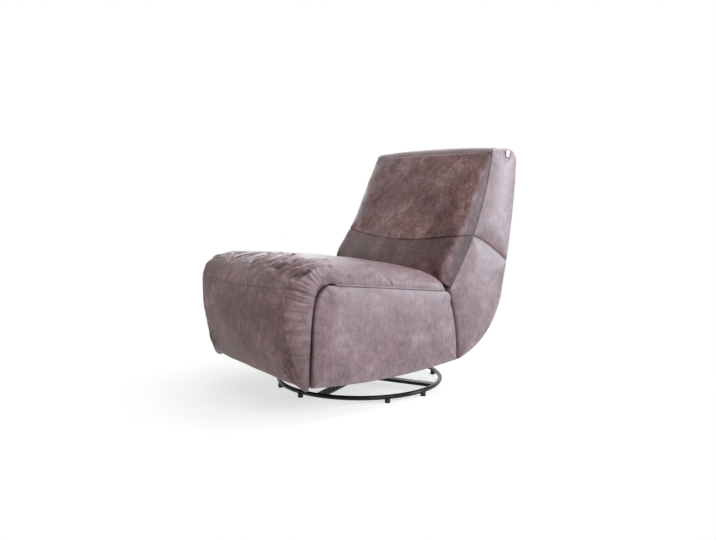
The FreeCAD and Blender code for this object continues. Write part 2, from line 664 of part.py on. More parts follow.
def back_outline():
    """Start and steps of a side of the back: front seam, top, rear, hull, and the joint with the side."""
    seat_end = (SEAM_REAR_Y + GAP_WIDTH, SEAM_REAR_Z)
    steps = [((BACK_MID_Y, waist_z), (TOP_FRONT_Y, BACK_HEIGHT)), (TOP_REAR_Y, BACK_HEIGHT),
             (top_corner, (REAR_TOP_Y, rear_top_z)), ((REAR_MID_Y, waist_z), (HULL_END_Y, HULL_END_Z)),
             ((HULL_MID_Y, HULL_MID_Z), (hull_foot_y, GAP_FOOT_Z)),
             ((GAP_MID_Y + GAP_WIDTH, GAP_MID_Z), seat_end)]
    return seat_end, steps


def back_side():
    """Padded side of the back, from the top down past the seat to the hull."""
    start, steps = back_outline()
    side = side_prism(start, steps, wing_in, half_body)
    lean = math.degrees(math.atan2(BACK_TAPER, BACK_HEIGHT - GAP_FOOT_Z))
    wedge = box(0, half_body, -half_body, BODY_WIDTH, -half_body, BODY_WIDTH + BACK_HEIGHT)
    wedge.rotate(Vec(0, 0, 0), Vec(0, 1, 0), -lean)
    wedge.translate(Vec(half_body, 0, GAP_FOOT_Z))
    side = side.cut(wedge)
    edges = [e for e in side.Edges if all(abs(v.X - back_half_width(v.Z)) < 1e-3 for v in e.Vertexes)]
    return side.makeFillet(BACK_SIDE_EDGE, edges)


def rear_section(x, swell):
    """One slice of the rear panel: over the top, down the rear and round the hull."""
    t = REAR_PANEL_THICKNESS
    end = REAR_PANEL_END
    top = BACK_HEIGHT - SEAM_CLEARANCE
    uy, uz, radius = arc_centre((HULL_END_Y, HULL_END_Z), (HULL_MID_Y, HULL_MID_Z),
                                (hull_foot_y, GAP_FOOT_Z))

    def hull(share, offset):
        first = math.atan2(HULL_END_Z - uz, HULL_END_Y - uy)
        last = math.atan2(GAP_FOOT_Z - uz, hull_foot_y - uy)
        a = first + share * (last - first)
        r = radius + offset
        return (uy + r * math.cos(a), uz + r * math.sin(a))

    start = (TOP_FRONT_Y + SEAM_CLEARANCE, top)
    lift = TOP_SWELL_SHARE * swell
    corner = (top_corner[0] + swell - lift, top_corner[1] + lift)
    steps = [(TOP_REAR_Y, top + lift), (corner, (REAR_TOP_Y + swell, rear_top_z)),
             ((REAR_MID_Y + swell, waist_z), hull(0, swell)), (hull(end / 2, swell), hull(end, swell)),
             hull(end, -t), (hull(end / 2, -t), hull(0, -t)),
             ((REAR_MID_Y - t, waist_z), (REAR_TOP_Y - t, rear_top_z - t / 2)), (TOP_FRONT_Y + t, top - t),
             (seam_y(top - t) + SEAM_CLEARANCE, top - t), start]
    return side_wire(start, steps, x)


def back_rear_panel():
    half = wing_in - SEAM_CLEARANCE
    quarter = REAR_QUARTER_SHARE * REAR_CROWN
    stations = [(-half, 0.0), (-half / 2, quarter), (0.0, REAR_CROWN), (half / 2, quarter), (half, 0.0)]
    return Part.makeLoft([rear_section(x, swell) for x, swell in stations], True)


# Seat
def seat_section(y, crown, rise):
    """One slice of the seat across X."""
    zs = seam_z(y)
    zb = zs - SEAT_DEPTH_BELOW
    lower = board_in - SEAM_CLEARANCE
    inner = seat_half - SEAT_SHOULDER

    def place(x, z):
        return Vec(x, y, z)

    def run(a, b):
        return Part.LineSegment(place(*a), place(*b)).toShape()

    def bow(a, m, b):
        return Part.Arc(place(*a), place(*m), place(*b)).toShape()

    lip = zs + SEAM_CLEARANCE
    corner = (inner, lip + rise)
    shoulder = (seat_half - SHOULDER_IN, lip + SHOULDER_SHARE * rise)
    edges = [run((-lower, zb), (lower, zb)), run((lower, zb), (lower, lip)),
             run((lower, lip), (seat_half, lip)), bow((seat_half, lip), shoulder, corner),
             bow(corner, (0.0, lip + crown), (-inner, lip + rise)),
             bow((-inner, lip + rise), (-shoulder[0], shoulder[1]), (-seat_half, lip)),
             run((-seat_half, lip), (-lower, lip)), run((-lower, lip), (-lower, zb))]
    return Part.Wire(edges)


def seat_front_y():
    return axis_y + AXLE_TUBE_RADIUS - FLANGE_LIP


def pad_room():
    """Space that the lower pad of the back and the gap round it take out of the rear of the seat."""
    front_z = pad_foot_z + PAD_FOOT_RISE
    rear = (seam_y(pad_foot_z), pad_foot_z)
    steps = [(seam_y(front_z) - PAD_FOOT_CROWN, front_z), (seam_y(lumbar_seam_z) - PAD_CROWN, lumbar_seam_z),
             (seam_y(lumbar_seam_z), lumbar_seam_z), rear]
    room = Part.Face(side_wire(rear, steps, -half_body)).makeOffset2D(SEAT_BACK_GAP)
    return room.extrude(Vec(BODY_WIDTH, 0, 0))


def seat_cushion():
    middle = (seat_front_y() + seat_rear_y) / 2
    rear_rise = SEAT_SHOULDER_RISE * SEAT_REAR_CROWN / SEAT_CROWN
    slices = [seat_section(seat_front_y(), SEAT_CROWN, SEAT_SHOULDER_RISE),
              seat_section(middle, SEAT_CROWN, SEAT_SHOULDER_RISE),
              seat_section(seat_rear_y, SEAT_REAR_CROWN, rear_rise)]
    return Part.makeLoft(slices, True).cut(pad_room())


def seat_tail():
    """Padded tail of the seat under the back. It fills the joint when the back reclines."""
    half = board_in - TAIL_SIDE_GAP
    front = seat_rear_y + SEAM_CLEARANCE
    radius = sweep_radius
    inner = radius - TAIL_THICKNESS
    first = math.degrees(math.asin((front - PIVOT_Y) / radius))
    end = math.degrees(math.asin(TAIL_LENGTH / radius))
    middle = (first + end) / 2
    foot = (front, seam_z(front) - SEAT_DEPTH_BELOW)
    steps = [sweep_point(radius, first), (sweep_point(radius, middle), sweep_point(radius, end)),
             sweep_point(inner, end), (sweep_point(inner, middle), sweep_point(inner, first)), foot]
    return side_prism(foot, steps, -half, half)


def front_rail_y():
    return axis_y + RAIL_FRONT_SETBACK


def spring_z(y):
    """Height of the spring wire's centre, on a plane under the seat cushion."""
    return seam_z(y) - SEAT_DEPTH_BELOW - SPRING_SINK - SPRING_WIRE_RADIUS


def spring_rows():
    """Y of every straight run of a spring, from the front rail to the rear rail."""
    first = front_rail_y() + RAIL_DEPTH / 2
    last = RAIL_REAR_Y + RAIL_DEPTH / 2
    pitch = 2 * SPRING_BEND_RADIUS
    runs = round((last - first) / pitch)
    start = (first + last - runs * pitch) / 2
    return [start + k * pitch for k in range(runs + 1)]


def spring_places():
    return [(k - (SPRING_COUNT - 1) / 2) * SPRING_SPACING for k in range(SPRING_COUNT)]


def rail_top(row):
    return spring_z(spring_rows()[row]) - SPRING_WIRE_RADIUS - CLIP_WALL


def seat_rail(y, row):
    """Timber rail between the side boards, under one end of the springs."""
    top = rail_top(row)
    return box(-board_in, board_in, y, y + RAIL_DEPTH, top - RAIL_HEIGHT, top)


def spring_path(x):
    """Centreline of one zigzag spring: straight runs across X joined by half turns."""
    rows = spring_rows()
    half = SPRING_HALF_WIDTH - SPRING_BEND_RADIUS
    edges = []
    side = 1
    for k, y in enumerate(rows):
        begin, end = Vec(x - side * half, y, spring_z(y)), Vec(x + side * half, y, spring_z(y))
        edges.append(Part.LineSegment(begin, end).toShape())
        if k + 1 < len(rows):
            ahead = rows[k + 1]
            middle = (y + ahead) / 2
            crest = Vec(x + side * SPRING_HALF_WIDTH, middle, spring_z(middle))
            edges.append(Part.Arc(end, crest, Vec(x + side * half, ahead, spring_z(ahead))).toShape())
        side = -side
    return Part.Wire(edges)


def spring_gap():
    """Least gap of a spring to itself, on points more than a half turn apart along the wire."""
    points = spring_path(0.0).discretize(Distance=SPRING_WIRE_RADIUS)
    skip = int(math.pi * SPRING_BEND_RADIUS / SPRING_WIRE_RADIUS)
    least = min((p - q).Length for i, p in enumerate(points) for q in points[i + skip:])
    return least - 2 * SPRING_WIRE_RADIUS


def seat_springs():
    springs = []
    for x in spring_places():
        path = spring_path(x)
        begin = path.OrderedVertexes[0].Point
        profile = Part.Wire([Part.Circle(begin, Vec(1, 0, 0), SPRING_WIRE_RADIUS).toShape()])
        springs.append(path.makePipeShell([profile], True, False))
    return Part.makeCompound(springs)


def spring_clips():
    """Plastic clips that hold the end runs of the springs on the rails."""
    rows = spring_rows()
    reach = SPRING_WIRE_RADIUS + CLIP_WALL
    clips = []
    for x in spring_places():
        for row in (0, -1):
            y = rows[row]
            z = spring_z(y)
            x0, x1 = x - CLIP_WIDTH / 2, x + CLIP_WIDTH / 2
            clip = rounded_box(x0, x1, y - reach, y + reach, rail_top(row), z + reach, CLIP_WALL / 2,
                               Vec(1, 0, 0))
            clips.append(clip.cut(x_cylinder(SPRING_WIRE_RADIUS + SEAM_CLEARANCE, x0, x1, (y, z))))
    return Part.makeCompound(clips)


# Front roll and footrest flap
def flap_front_y(crown):
    return flap_back_y - crown


def roll_section(x, drop, drawn):
    """One slice of the roll that carries the seat cover over the front edge."""
    back = seat_front_y() - SEAM_CLEARANCE
    top = seam_z(back) + SEAT_CROWN + SEAM_CLEARANCE - drop
    front = flap_front_y(FLAP_CROWN) + drawn
    low = flap_top_z + SEAM_CLEARANCE
    inner_y = flap_back_y
    inner_z = axis_z + AXLE_TUBE_RADIUS + HINGE_ARM_RADIUS / 2
    via = (part_way(back, front, ROLL_FULLNESS), part_way(low, top, ROLL_FULLNESS))
    start = (back, inner_z)
    steps = [(back, top), (via, (front, low)), (inner_y, low), (inner_y, inner_z), start]
    return side_wire(start, steps, x)


def front_roll():
    """Soft roll between seat and flap. It creases as the flap lifts."""
    drawn = (1 - ROLL_END_SHARE) * FLAP_CROWN
    slices = []
    for x, share in soft_stations(flap_half, ROLL_BOXINESS):
        reach = abs(x) / flap_half
        crown_drop = (SEAT_CROWN - SEAT_SHOULDER_RISE) * reach ** 2
        drop = part_way(SEAT_SHOULDER_RISE, crown_drop, share)
        slices.append(roll_section(x, drop, drawn * reach ** ROLL_EDGE_POWER))
    roll = Part.makeLoft(slices, True)
    start, steps = side_outline(-SEAM_CLEARANCE)
    side = side_prism(start, steps, board_in - SEAM_CLEARANCE, half_body)
    return roll.cut([side, mirrored(side)])


def flap_section(z, half, crown, edge):
    """One slice of the flap across X, flat behind and full in front."""
    rear = flap_back_y
    inner = half - FLAP_SHOULDER
    shoulder_y = rear - (edge + crown) / 2

    def bow(a, m, b):
        return Part.Arc(Vec(a[0], a[1], z), Vec(m[0], m[1], z), Vec(b[0], b[1], z)).toShape()

    round_x, round_y = half - FLAP_EDGE_IN, rear - FLAP_EDGE_SHARE * edge
    edges = [Part.LineSegment(Vec(-half, rear, z), Vec(half, rear, z)).toShape(),
             bow((half, rear), (round_x, round_y), (inner, shoulder_y)),
             bow((inner, shoulder_y), (0.0, rear - crown), (-inner, shoulder_y)),
             bow((-inner, shoulder_y), (-round_x, round_y), (-half, rear))]
    return Part.Wire(edges)


def footrest_pad():
    middle = (FLAP_BOTTOM_Z + flap_top_z) / 2
    foot_half = flap_half - FLAP_TAPER
    slices = [flap_section(FLAP_BOTTOM_Z, foot_half, FLAP_CROWN - FLAP_FOOT_THIN, FLAP_EDGE - FLAP_FOOT_THIN),
              flap_section(middle, (flap_half + foot_half) / 2, FLAP_CROWN - FLAP_MID_THIN,
                           FLAP_EDGE - FLAP_MID_THIN),
              flap_section(flap_top_z, flap_half, FLAP_CROWN, FLAP_EDGE)]
    return Part.makeLoft(slices, True)


def flap_board_half():
    return board_in - FLAP_BOARD_MARGIN


def footrest_board():
    return rounded_box(-flap_board_half(), flap_board_half(), flap_back_y, flap_back_y + FLAP_BOARD_THICKNESS,
                       FLAP_BOTTOM_Z + FLAP_BOARD_MARGIN, flap_top_z, FLAP_BOARD_MARGIN, Vec(0, 1, 0))


def footrest_axle():
    """Torsion tube with its two arms, their straps on the flap board, and the crank that the rod pushes."""
    axis = (axis_y, axis_z)
    tube_end = board_in - FLANGE_THICKNESS
    tube = x_cylinder(AXLE_TUBE_RADIUS, -tube_end, tube_end, axis)
    stub_end = board_out - STUB_END_GAP
    stub = x_cylinder(STUB_RADIUS, -stub_end, stub_end, axis)
    board_face = flap_back_y + FLAP_BOARD_THICKNESS
    strap_y = board_face + HINGE_ARM_THICKNESS
    heel = (strap_y + HINGE_ARM_RADIUS / 2, flap_top_z - HINGE_ARM_RADIUS)
    pieces = [stub]
    for x in (-HINGE_ARM_X, HINGE_ARM_X):
        x0, x1 = x - HINGE_ARM_THICKNESS / 2, x + HINGE_ARM_THICKNESS / 2
        pieces.append(link(axis, heel, HINGE_ARM_RADIUS, HINGE_ARM_RADIUS / 2, x0, x1))
        pieces.append(box(x0, x1, board_face, heel[0], heel[1] - HINGE_STRAP_LENGTH / 2, heel[1]))
        pieces.append(box(x - HINGE_STRAP_WIDTH / 2, x + HINGE_STRAP_WIDTH / 2, board_face, strap_y,
                          heel[1] - HINGE_STRAP_LENGTH, heel[1]))
    half = CRANK_THICKNESS / 2
    pieces.append(link(axis, footrest_pin, HINGE_ARM_RADIUS, CRANK_RADIUS, -ACTUATOR_X - half,
                       -ACTUATOR_X + half))
    reach = half + FORK_GAP + FORK_EAR
    pieces.append(x_cylinder(CRANK_PIN_RADIUS, -ACTUATOR_X - reach, -ACTUATOR_X + reach, footrest_pin))
    return tube.fuse(pieces)


def footrest_bush():
    """Flanged nylon bush in a side board, round the end of the torsion tube."""
    axis = (axis_y, axis_z)
    outer = STUB_RADIUS + RUN_CLEARANCE + BUSH_WALL
    body = x_cylinder(outer, board_in, board_out, axis)
    lip = x_cylinder(outer + FLANGE_LIP, board_in - FLANGE_THICKNESS + RUN_CLEARANCE, board_in, axis)
    bore = x_cylinder(STUB_RADIUS + RUN_CLEARANCE, board_in - FLANGE_THICKNESS, board_out, axis)
    return body.fuse(lip).cut(bore)


# Actuators. Each lies along Y at height z: the rod leaves the sleeve towards way (+1 rear, -1 front)
class Actuator:
    def __init__(self, x, pin, crank, swing, stroke, way, bracket_y):
        self.x = x
        self.pin = pin
        self.drop = crank * (1 - math.cos(swing)) / 2  # half the height that the crank pin rises and falls
        self.stroke = stroke
        self.way = way
        self.bracket_y = bracket_y
        self.z = pin[1] + (self.drop if way > 0 else -self.drop)
        self.slot = CRANK_PIN_RADIUS + CRANK_PIN_PLAY
        self.fork_half = self.slot + FORK_WALL
        self.root = pin[0] - way * FORK_ROOT
        self.mouth = self.root - way * SLEEVE_SPARE
        self.tail = self.mouth - way * SLEEVE_LENGTH
        self.lug = self.tail - way * (GEARBOX_LENGTH + LUG_LENGTH)

    def along(self, y0, y1, radius):
        low, high = min(y0, y1), max(y0, y1)
        return Part.makeCylinder(radius, high - low, Vec(self.x, low, self.z), Vec(0, 1, 0))

    def rod(self):
        """Rod with a forked end. The fork is slotted upright, because the crank pin moves on an arc."""
        half = CRANK_THICKNESS / 2 + FORK_GAP
        outer = half + FORK_EAR
        y = self.pin[0]
        tall = self.slot + self.drop + FORK_WALL
        gap_end = self.root + self.way * FORK_WALL
        head = rounded_box(self.x - outer, self.x + outer, y - self.fork_half, y + self.fork_half,
                           self.z - tall, self.z + tall, FORK_WALL, Vec(1, 0, 0))
        neck = box(self.x - outer, self.x + outer, min(self.root, y), max(self.root, y), self.z - ROD_RADIUS,
                   self.z + ROD_RADIUS)
        far = y + self.way * self.fork_half
        gap = box(self.x - half, self.x + half, min(gap_end, far), max(gap_end, far), self.z - tall,
                  self.z + tall)
        low = x_cylinder(self.slot, self.x - outer, self.x + outer, (y, self.z - self.drop))
        high = x_cylinder(self.slot, self.x - outer, self.x + outer, (y, self.z + self.drop))
        slot = box(self.x - outer, self.x + outer, y - self.slot, y + self.slot, self.z - self.drop,
                   self.z + self.drop)
        bar = self.along(self.root, self.mouth - self.way * (self.stroke + ROD_TAIL), ROD_RADIUS)
        return head.fuse(neck).removeSplitter().cut([gap, low, high, slot]).fuse(bar)

    def sleeve(self):
        tube = self.along(self.mouth, self.tail, SLEEVE_RADIUS)
        return tube.cut(self.along(self.mouth, self.tail, ROD_RADIUS + RUN_CLEARANCE))

    def motor(self):
        """Gearbox on the end of the sleeve, with the motor beside it and a lug behind."""
        half = GEARBOX_SIZE / 2
        far = self.tail - self.way * GEARBOX_LENGTH
        gearbox = rounded_box(self.x - half, self.x + half, min(self.tail, far), max(self.tail, far),
                              self.z - half, self.z + half, GEARBOX_EDGE, Vec(0, 1, 0))
        middle = (self.tail + far) / 2
        can = Part.makeCylinder(MOTOR_RADIUS, MOTOR_LENGTH, Vec(self.x + half, middle, self.z), Vec(1, 0, 0))
        cap = Part.makeCylinder(MOTOR_RADIUS - MOTOR_CAP, MOTOR_CAP,
                                Vec(self.x + half + MOTOR_LENGTH, middle, self.z), Vec(1, 0, 0))
        lug = link((far, self.z), (self.lug, self.z), LUG_RADIUS, LUG_RADIUS - LUG_TAPER,
                   self.x - LUG_THICKNESS / 2, self.x + LUG_THICKNESS / 2)
        lug = lug.cut(gearbox)
        bore = x_cylinder(CLEVIS_PIN_RADIUS + RUN_CLEARANCE, self.x - LUG_THICKNESS, self.x + LUG_THICKNESS,
                          (self.lug, self.z))
        return gearbox.fuse([can, cap, lug]).cut(bore)

    def bracket(self):
        """Two ears on a foot that is welded to a cross member."""
        half = LUG_THICKNESS / 2 + FORK_GAP
        foot = box(self.x - half - CLEVIS_EAR, self.x + half + CLEVIS_EAR, self.bracket_y - MEMBER_DEPTH / 2,
                   self.bracket_y + MEMBER_DEPTH / 2, member_top, member_top + CLEVIS_FOOT)
        ears = []
        for side in (-1, 1):
            x0 = self.x + side * half
            x1 = self.x + side * (half + CLEVIS_EAR)
            ear = link((self.bracket_y, member_top + CLEVIS_FOOT + LUG_RADIUS), (self.lug, self.z),
                       LUG_RADIUS + EAR_ROOT, LUG_RADIUS, min(x0, x1), max(x0, x1))
            ears.append(ear)
        bore = x_cylinder(CLEVIS_PIN_RADIUS, self.x - 2 * LUG_THICKNESS, self.x + 2 * LUG_THICKNESS,
                          (self.lug, self.z))
        return foot.fuse(ears).cut(bore)

    def clevis_pin(self):
        reach = LUG_THICKNESS / 2 + FORK_GAP + CLEVIS_EAR
        shank = x_cylinder(CLEVIS_PIN_RADIUS, self.x - reach, self.x + reach, (self.lug, self.z))
        head = x_cylinder(CLEVIS_PIN_RADIUS + CLEVIS_HEAD, self.x + reach, self.x + reach + CLEVIS_HEAD,
                          (self.lug, self.z))
        return shank.fuse(head)


recline_actuator = Actuator(ACTUATOR_X, recline_pin, RECLINE_CRANK, half_recline, recline_stroke, 1,
                            MEMBER_FRONT_Y)
footrest_actuator = Actuator(-ACTUATOR_X, footrest_pin, FOOTREST_CRANK, half_lift, footrest_stroke, -1,
                             MEMBER_REAR_Y)


# Control box, inlet, switch and buttons
def control_box():
    return rounded_box(box_x - BOX_WIDTH / 2, box_x + BOX_WIDTH / 2, MEMBER_MIDDLE_Y, MEMBER_REAR_Y,
                       member_top, member_top + BOX_HEIGHT, BOX_EDGE, Vec(0, 1, 0))


def power_inlet():
    """Round socket for the mains adaptor's plug, on the rear end of the control box."""
    seat = Vec(box_x, MEMBER_REAR_Y, member_top + BOX_HEIGHT / 2)
    barrel = Part.makeCylinder(INLET_RADIUS, INLET_LENGTH, seat, Vec(0, 1, 0))
    bore = Part.makeCylinder(INLET_BORE, INLET_LENGTH, seat + Vec(0, INLET_FLOOR, 0), Vec(0, 1, 0))
    return barrel.cut(bore)


def switch_block():
    """Outer shape of the switch, let into the pad of the right-hand side."""
    half, tall = SWITCH_LENGTH / 2, SWITCH_HEIGHT / 2
    return rounded_box(-pad_out - SWITCH_PROUD, -pad_out + SWITCH_DEPTH, SWITCH_Y - half, SWITCH_Y + half,
                       SWITCH_Z - tall, SWITCH_Z + tall, SWITCH_CORNER, Vec(1, 0, 0))


def button_places():
    return [(SWITCH_Y + (k - (BUTTON_COUNT - 1) / 2) * BUTTON_PITCH, SWITCH_Z) for k in range(BUTTON_COUNT)]


def button_seat_x():
    """Floor of a button's bore, left free for its travel."""
    return -pad_out - SWITCH_PROUD + BUTTON_STEM + BUTTON_TRAVEL + BUTTON_CLEARANCE


def switch_bezel():
    bores = [x_cylinder(BUTTON_RADIUS + BUTTON_CLEARANCE, -pad_out - SWITCH_PROUD, button_seat_x(), place)
             for place in button_places()]
    return switch_block().cut(bores)


def push_button(place):
    cap = x_cylinder(BUTTON_RADIUS, -pad_out - SWITCH_PROUD, -pad_out - SWITCH_PROUD + BUTTON_STEM, place)
    return cap.makeChamfer(BUTTON_CLEARANCE, outer_edges(cap, -pad_out - SWITCH_PROUD))


# Zip pull on the upper rear corner of the left side of the back
def zip_pull():
    z = BACK_HEIGHT - ZIP_DROP
    x = back_half_width(z - ZIP_TAB_LENGTH) + SEAM_CLEARANCE
    slider = rounded_box(x - BACK_SIDE_EDGE / 2, x, ZIP_Y - ZIP_BODY_WIDTH / 2, ZIP_Y + ZIP_BODY_WIDTH / 2,
                         z - ZIP_BODY_LENGTH, z, ZIP_BODY_WIDTH / 3, Vec(1, 0, 0))
    tab = rounded_box(x, x + ZIP_TAB_THICKNESS, ZIP_Y - ZIP_TAB_WIDTH / 2, ZIP_Y + ZIP_TAB_WIDTH / 2,
                      z - ZIP_TAB_LENGTH, z, ZIP_TAB_WIDTH / 3, Vec(1, 0, 0))
    hole = x_cylinder(ZIP_TAB_WIDTH / 4, x, x + ZIP_TAB_THICKNESS,
                      (ZIP_Y, z - ZIP_TAB_LENGTH + ZIP_TAB_WIDTH / 2))
    return slider.cut(back_side()).fuse(tab.cut(hole))


def assembly():
    """Every piece by name."""
    right_pad = mirrored(side_pad()).cut(switch_block())
    pieces = {
        "base_ring": base_ring(), "base_cross": base_cross(),
        "base_hub": base_hub(), "base_feet": base_feet(),
        "swivel_washer": swivel_washer(), "swivel_bush": swivel_bush(), "swivel_plate": swivel_plate(),
        "swivel_bolts": swivel_bolts(),
        "chassis_member_front": cross_member(MEMBER_FRONT_Y),
        "chassis_member_middle": cross_member(MEMBER_MIDDLE_Y),
        "chassis_member_rear": cross_member(MEMBER_REAR_Y),
        "side_board_left": side_board(), "side_board_right": mirrored(side_board()),
        "side_pad_left": side_pad(), "side_pad_right": right_pad,
        "recline_bracket_left": recline_bracket(), "recline_bracket_right": mirrored(recline_bracket()),
        "recline_pin_left": recline_pivot_pin(), "recline_pin_right": mirrored(recline_pivot_pin()),
        "recline_bush_left": recline_bush(), "recline_bush_right": mirrored(recline_bush()),
        "back_frame": back_frame(), "back_spacers": back_spacers(), "back_webbing": back_webbing(),
        "back_pad_lower": back_pad_lower(), "back_pad_upper": back_pad_upper(),
        "back_side_left": back_side(), "back_side_right": mirrored(back_side()),
        "back_rear_panel": back_rear_panel(),
        "seat_cushion": seat_cushion(), "seat_tail": seat_tail(),
        "seat_rail_front": seat_rail(front_rail_y(), 0), "seat_rail_rear": seat_rail(RAIL_REAR_Y, -1),
        "seat_springs": seat_springs(), "spring_clips": spring_clips(),
        "front_roll": front_roll(), "footrest_pad": footrest_pad(), "footrest_board": footrest_board(),
        "footrest_axle": footrest_axle(),
        "footrest_bush_left": footrest_bush(), "footrest_bush_right": mirrored(footrest_bush()),
        "control_box": control_box(), "power_inlet": power_inlet(), "switch_bezel": switch_bezel(),
        "zip_pull": zip_pull(),
    }
    for name, actuator in (("recline", recline_actuator), ("footrest", footrest_actuator)):
        pieces[name + "_rod"] = actuator.rod()
        pieces[name + "_sleeve"] = actuator.sleeve()
        pieces[name + "_motor"] = actuator.motor()
        pieces[name + "_motor_bracket"] = actuator.bracket()
        pieces[name + "_clevis_pin"] = actuator.clevis_pin()
    for name, place in zip(("footrest_out", "footrest_in", "back_down", "back_up"), button_places()):
        pieces["button_" + name] = push_button(place)
    return pieces


os.makedirs("parts", exist_ok=True)
for node, shape in assembly().items():
    if not shape.isValid():
        print("not valid:", node)
    shape.exportStep("parts/" + node + ".step")
print("rod travel in mm: recline", round(recline_stroke, 2), "footrest", round(footrest_stroke, 2))
print("least gap of a seat spring to itself in mm:", round(spring_gap(), 2))
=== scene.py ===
# %% [markdown]
# # An armless power recliner in worn leather
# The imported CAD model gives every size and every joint. This lesson dresses it: each soft solid is
# replaced by an upholstered piece with its own seams and creases, and each hard part keeps its shape and
# gets a finish.

# %% Load the frame
import bpy
import json
import math
import random
import numpy as np
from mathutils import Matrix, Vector


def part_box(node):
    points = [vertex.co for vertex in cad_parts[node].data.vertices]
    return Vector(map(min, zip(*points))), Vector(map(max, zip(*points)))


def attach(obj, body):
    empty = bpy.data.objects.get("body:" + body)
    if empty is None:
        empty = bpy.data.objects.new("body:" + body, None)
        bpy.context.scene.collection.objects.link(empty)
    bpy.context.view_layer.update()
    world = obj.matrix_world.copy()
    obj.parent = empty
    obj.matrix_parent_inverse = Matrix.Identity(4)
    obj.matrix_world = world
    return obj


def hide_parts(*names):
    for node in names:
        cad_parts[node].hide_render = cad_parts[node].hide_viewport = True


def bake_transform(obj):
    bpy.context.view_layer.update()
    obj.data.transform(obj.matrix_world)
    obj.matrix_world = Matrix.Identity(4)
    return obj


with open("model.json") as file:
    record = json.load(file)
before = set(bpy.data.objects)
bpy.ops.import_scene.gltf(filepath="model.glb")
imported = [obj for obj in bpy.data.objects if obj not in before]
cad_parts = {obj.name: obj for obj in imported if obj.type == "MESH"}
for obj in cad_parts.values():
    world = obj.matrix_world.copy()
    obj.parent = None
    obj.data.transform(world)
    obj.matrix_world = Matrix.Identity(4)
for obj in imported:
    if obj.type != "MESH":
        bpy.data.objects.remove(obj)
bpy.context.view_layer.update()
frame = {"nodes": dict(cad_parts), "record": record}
nodes = frame["nodes"]

# %% [markdown]
# ## Camera
# The picture was taken from the sitter's front left, a little above the seat. The eye and the lens were
# worked out from the floor ring, which is a true circle, so the camera is placed by numbers and needs no
# shift.

# %% Camera
EYE = (2.214, -1.572, 0.730)
EYE_AZIMUTH = math.radians(54.74)
EYE_PITCH = math.radians(6.3)
IMAGE_WIDTH = 716
FOCAL_PIXELS = 716.39

camera_data = bpy.data.cameras.new("camera")
camera_data.sensor_width = 36.0
camera_data.lens = camera_data.sensor_width * FOCAL_PIXELS / IMAGE_WIDTH
camera = bpy.data.objects.new("camera", camera_data)
bpy.context.scene.collection.objects.link(camera)
camera.location = EYE
sight = Vector((-math.sin(EYE_AZIMUTH) * math.cos(EYE_PITCH), math.cos(EYE_AZIMUTH) * math.cos(EYE_PITCH),
                -math.sin(EYE_PITCH)))
camera.rotation_euler = sight.to_track_quat("-Z", "Y").to_euler()
bpy.context.scene.camera = camera
bpy.context.scene.view_settings.view_transform = "Standard"
print("lens", round(camera_data.lens, 2), "mm")

# %% [markdown]
# ## Small tools for nodes
# A material is a tree of nodes. Small helpers keep the trees readable: put adds a node and fills its
# sockets, and new_group starts a node group, which is an effect that several materials share.


# %% Node helpers
def screen(red, green, blue):
    """A colour as written on screen, 0 to 255, in the linear values that a shader takes."""
    def linear(c):
        return c / 12.92 if c <= 0.04045 else ((c + 0.055) / 1.055) ** 2.4
    return tuple(linear(c / 255) for c in (red, green, blue)) + (1.0,)


def plug(tree, node, inputs):
    """Fill sockets of a node, each with a value or with the socket that drives it."""
    for name, value in inputs.items():
        if isinstance(value, bpy.types.NodeSocket):
            tree.links.new(value, node.inputs[name])
        else:
            node.inputs[name].default_value = value


def put(tree, kind, inputs=None, **settings):
    """Add a node. settings are its own properties, inputs fill its sockets."""
    node = tree.nodes.new(kind)
    for name, value in settings.items():
        setattr(node, name, value)
    plug(tree, node, inputs or {})
    return node


def calc(tree, operation, *values):
    return put(tree, "ShaderNodeMath", dict(enumerate(values)), operation=operation).outputs[0]


def noise(tree, place, scale, detail=4.0, roughness=0.55, distortion=0.0):
    return put(tree, "ShaderNodeTexNoise", {"Vector": place, "Scale": scale, "Detail": detail,
                                            "Roughness": roughness, "Distortion": distortion}).outputs[0]


def stretch(tree, value, low, high, new_low=0.0, new_high=1.0):
    """Map low..high to new_low..new_high, smoothly and with the ends held."""
    return put(tree, "ShaderNodeMapRange", {0: value, 1: low, 2: high, 3: new_low, 4: new_high},
               interpolation_type="SMOOTHSTEP").outputs[0]


def blend_colour(tree, share, first, second):
    return put(tree, "ShaderNodeMix", {0: share, 6: first, 7: second}, data_type="RGBA").outputs[2]


def scaled(tree, place, x, y, z):
    return put(tree, "ShaderNodeVectorMath", {0: place, 1: (x, y, z)}, operation="MULTIPLY").outputs[0]


def mixture(tree, *parts):
    """Sum of values, each times its share."""
    total, *others = [calc(tree, "MULTIPLY", value, share) for value, share in parts]
    for part in others:
        total = calc(tree, "ADD", total, part)
    return total


def bumped(tree, height, strength, distance):
    """Normals of a surface with that relief."""
    inputs = {"Strength": strength, "Distance": distance, "Height": height}
    return put(tree, "ShaderNodeBump", inputs).outputs[0]


def stored(tree, name, output="Fac"):
    """A value that the mesh stores at its points."""
    return put(tree, "ShaderNodeAttribute", attribute_name=name).outputs[output]


def new_group(name, colours, values, outputs):
    """A node group, from the names of its colours, of its plain values and of what it puts out."""
    group = bpy.data.node_groups.new(name, "ShaderNodeTree")
    sockets = [("Place", "INPUT", "Vector")]
    sockets += [(label, "INPUT", "Color") for label in colours]
    sockets += [(label, "INPUT", "Float") for label in values]
    sockets += [(label, "OUTPUT", "Color" if label == "Colour" else "Float") for label in outputs]
    for label, way, kind in sockets:
        group.interface.new_socket(label, in_out=way, socket_type="NodeSocket" + kind)
    return group, group.nodes.new("NodeGroupInput").outputs, group.nodes.new("NodeGroupOutput")


def new_material(name):
    material = bpy.data.materials.new(name)
    material.use_nodes = True
    return material, material.node_tree, material.node_tree.nodes["Principled BSDF"]


